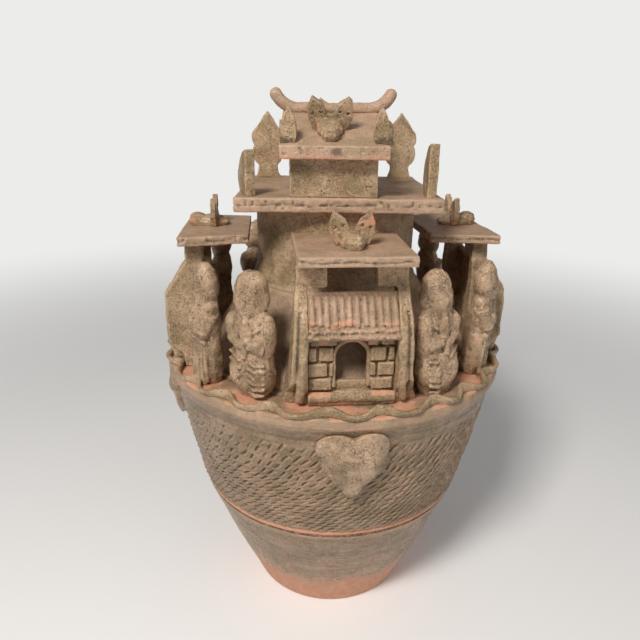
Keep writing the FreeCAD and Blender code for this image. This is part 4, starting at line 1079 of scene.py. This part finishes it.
make_band()
make_foot()
make_shoulder()
make_neck()
make_frill()
for number, side in enumerate(SIDES):
    seed = 100 + 20 * number
    make_heart(side, seed + 1)
    make_post(side, "left", seed + 2)
    make_post(side, "right", seed + 3)
    make_gate_wall(side, seed + 4)
    make_sill(side, seed + 5)
    make_tiles(side, seed + 6)
    make_slab(f"{side}_tower_roof", seed + 7)
    make_dove(f"{side}_tower_dove", dove_matrix(side), seed + 8)
for number, node in enumerate(FIGURES):
    make_figure(node, 200 + 11 * number)
make_slab("lid_platform", 301, voxel=1.0, lump=0.4, edge_pit=1.0, slack=0.3)
make_ring()
make_pavilion_walls()
make_pavilion_roof()
make_ridge()
make_finials()
for number, place in enumerate(("front_left", "front_right", "back_left", "back_right")):
    make_corner_slab(f"{place}_corner_slab", 360 + number * 7)
for number, (node, side) in enumerate((("front_roof_dove", -1), ("rear_roof_dove", 1))):
    spot = (PAVILION_X + 3.0 * side, PAVILION_Y + 32.5 * side, PAVILION_EAVE + ROOF_SLOPE * 20.5)
    perch = (
        about_axis(LID_TURN)
        @ Matrix.Translation(spot)
        @ about_axis(90 + 90 * side)
        @ Matrix.Rotation(math.atan(ROOF_SLOPE), 4, "X")
    )
    make_dove(node, perch, 391 + number)


# Floor, light and camera

FLOOR_TONE = (0.95, 0.945, 0.94, 1.0)
SEEN_TONE = (0.84, 0.84, 0.83, 1.0)
FADE_START = 0.45
FADE_END = 1.6


def seen_white(tree, kind, surface, share, output):
    """Sends a surface to the output, white instead as far as share says."""
    white = tree.nodes.new(f"ShaderNode{kind}")
    white.inputs["Color"].default_value = SEEN_TONE
    mix = tree.nodes.new("ShaderNodeMixShader")
    for number, source in enumerate((share, surface, white.outputs[kind])):
        tree.links.new(source, mix.inputs[number])
    tree.links.new(mix.outputs["Shader"], tree.nodes[output].inputs["Surface"])


def floor_paper():
    """Paper that keeps the jar's shadow, and looks evenly white away from the jar."""
    made = Shader("floor_paper")
    made.surface.inputs["Base Color"].default_value = FLOOR_TONE
    made.surface.inputs["Roughness"].default_value = 0.9
    far = made.add("VectorMath")
    far.operation = "LENGTH"
    made.feed(far.inputs[0], made.place)
    path = made.add("LightPath")
    fade = made.between(far.outputs["Value"], FADE_START, FADE_END)
    share = made.sum("MULTIPLY", fade, path.outputs["Is Camera Ray"])
    seen_white(made.tree, "Emission", made.surface.outputs["BSDF"], share, "Material Output")
    return made.material


def make_stage():
    bpy.ops.mesh.primitive_plane_add(size=8, location=(0, 0, 0))
    floor = bpy.context.object
    floor.name = "floor"
    floor.data.materials.append(floor_paper())
    world = bpy.context.scene.world or bpy.data.worlds.new("studio")
    bpy.context.scene.world = world
    world.use_nodes = True
    tree = world.node_tree
    light = tree.nodes["Background"]
    light.inputs["Color"].default_value = (0.95, 0.95, 0.95, 1.0)
    light.inputs["Strength"].default_value = 0.24
    share = tree.nodes.new("ShaderNodeLightPath").outputs["Is Camera Ray"]
    seen_white(tree, "Background", light.outputs["Background"], share, "World Output")


def make_lamp(name, spot, aim, size, power, tone):
    lamp = bpy.data.lights.new(name, "AREA")
    lamp.size = size
    lamp.energy = power
    lamp.color = tone
    holder = placed(name, lamp)
    holder.location = spot
    holder.rotation_euler = (Vector(aim) - Vector(spot)).to_track_quat("-Z", "Y").to_euler()


CAMERA_SPOT = (-0.0564, -0.4798, 0.4260)
CAMERA_TURN = (69.939, -0.7, -5.087)
PHOTO_SIDE = 640
FOCAL_PIXELS = 575.0
SENSOR = 36.0


def make_camera():
    """The photograph's own viewpoint: close, a little left of the front tower, 20 degrees down."""
    lens = bpy.data.cameras.new("camera")
    lens.sensor_width = SENSOR
    lens.lens = SENSOR * FOCAL_PIXELS / PHOTO_SIDE
    lens.clip_start = 0.01
    camera = placed("camera", lens)
    camera.location = CAMERA_SPOT
    camera.rotation_euler = [math.radians(angle) for angle in CAMERA_TURN]
    bpy.context.scene.camera = camera


make_stage()
make_lamp("key", (-0.5, -0.85, 1.25), (0, 0, 0.25), 0.32, 17, (1.0, 0.97, 0.93))
make_lamp("fill", (0.9, -0.8, 0.7), (0, 0, 0.2), 1.2, 2.5, (1.0, 0.97, 0.95))
make_camera()
bpy.context.scene.view_settings.view_transform = "Standard"
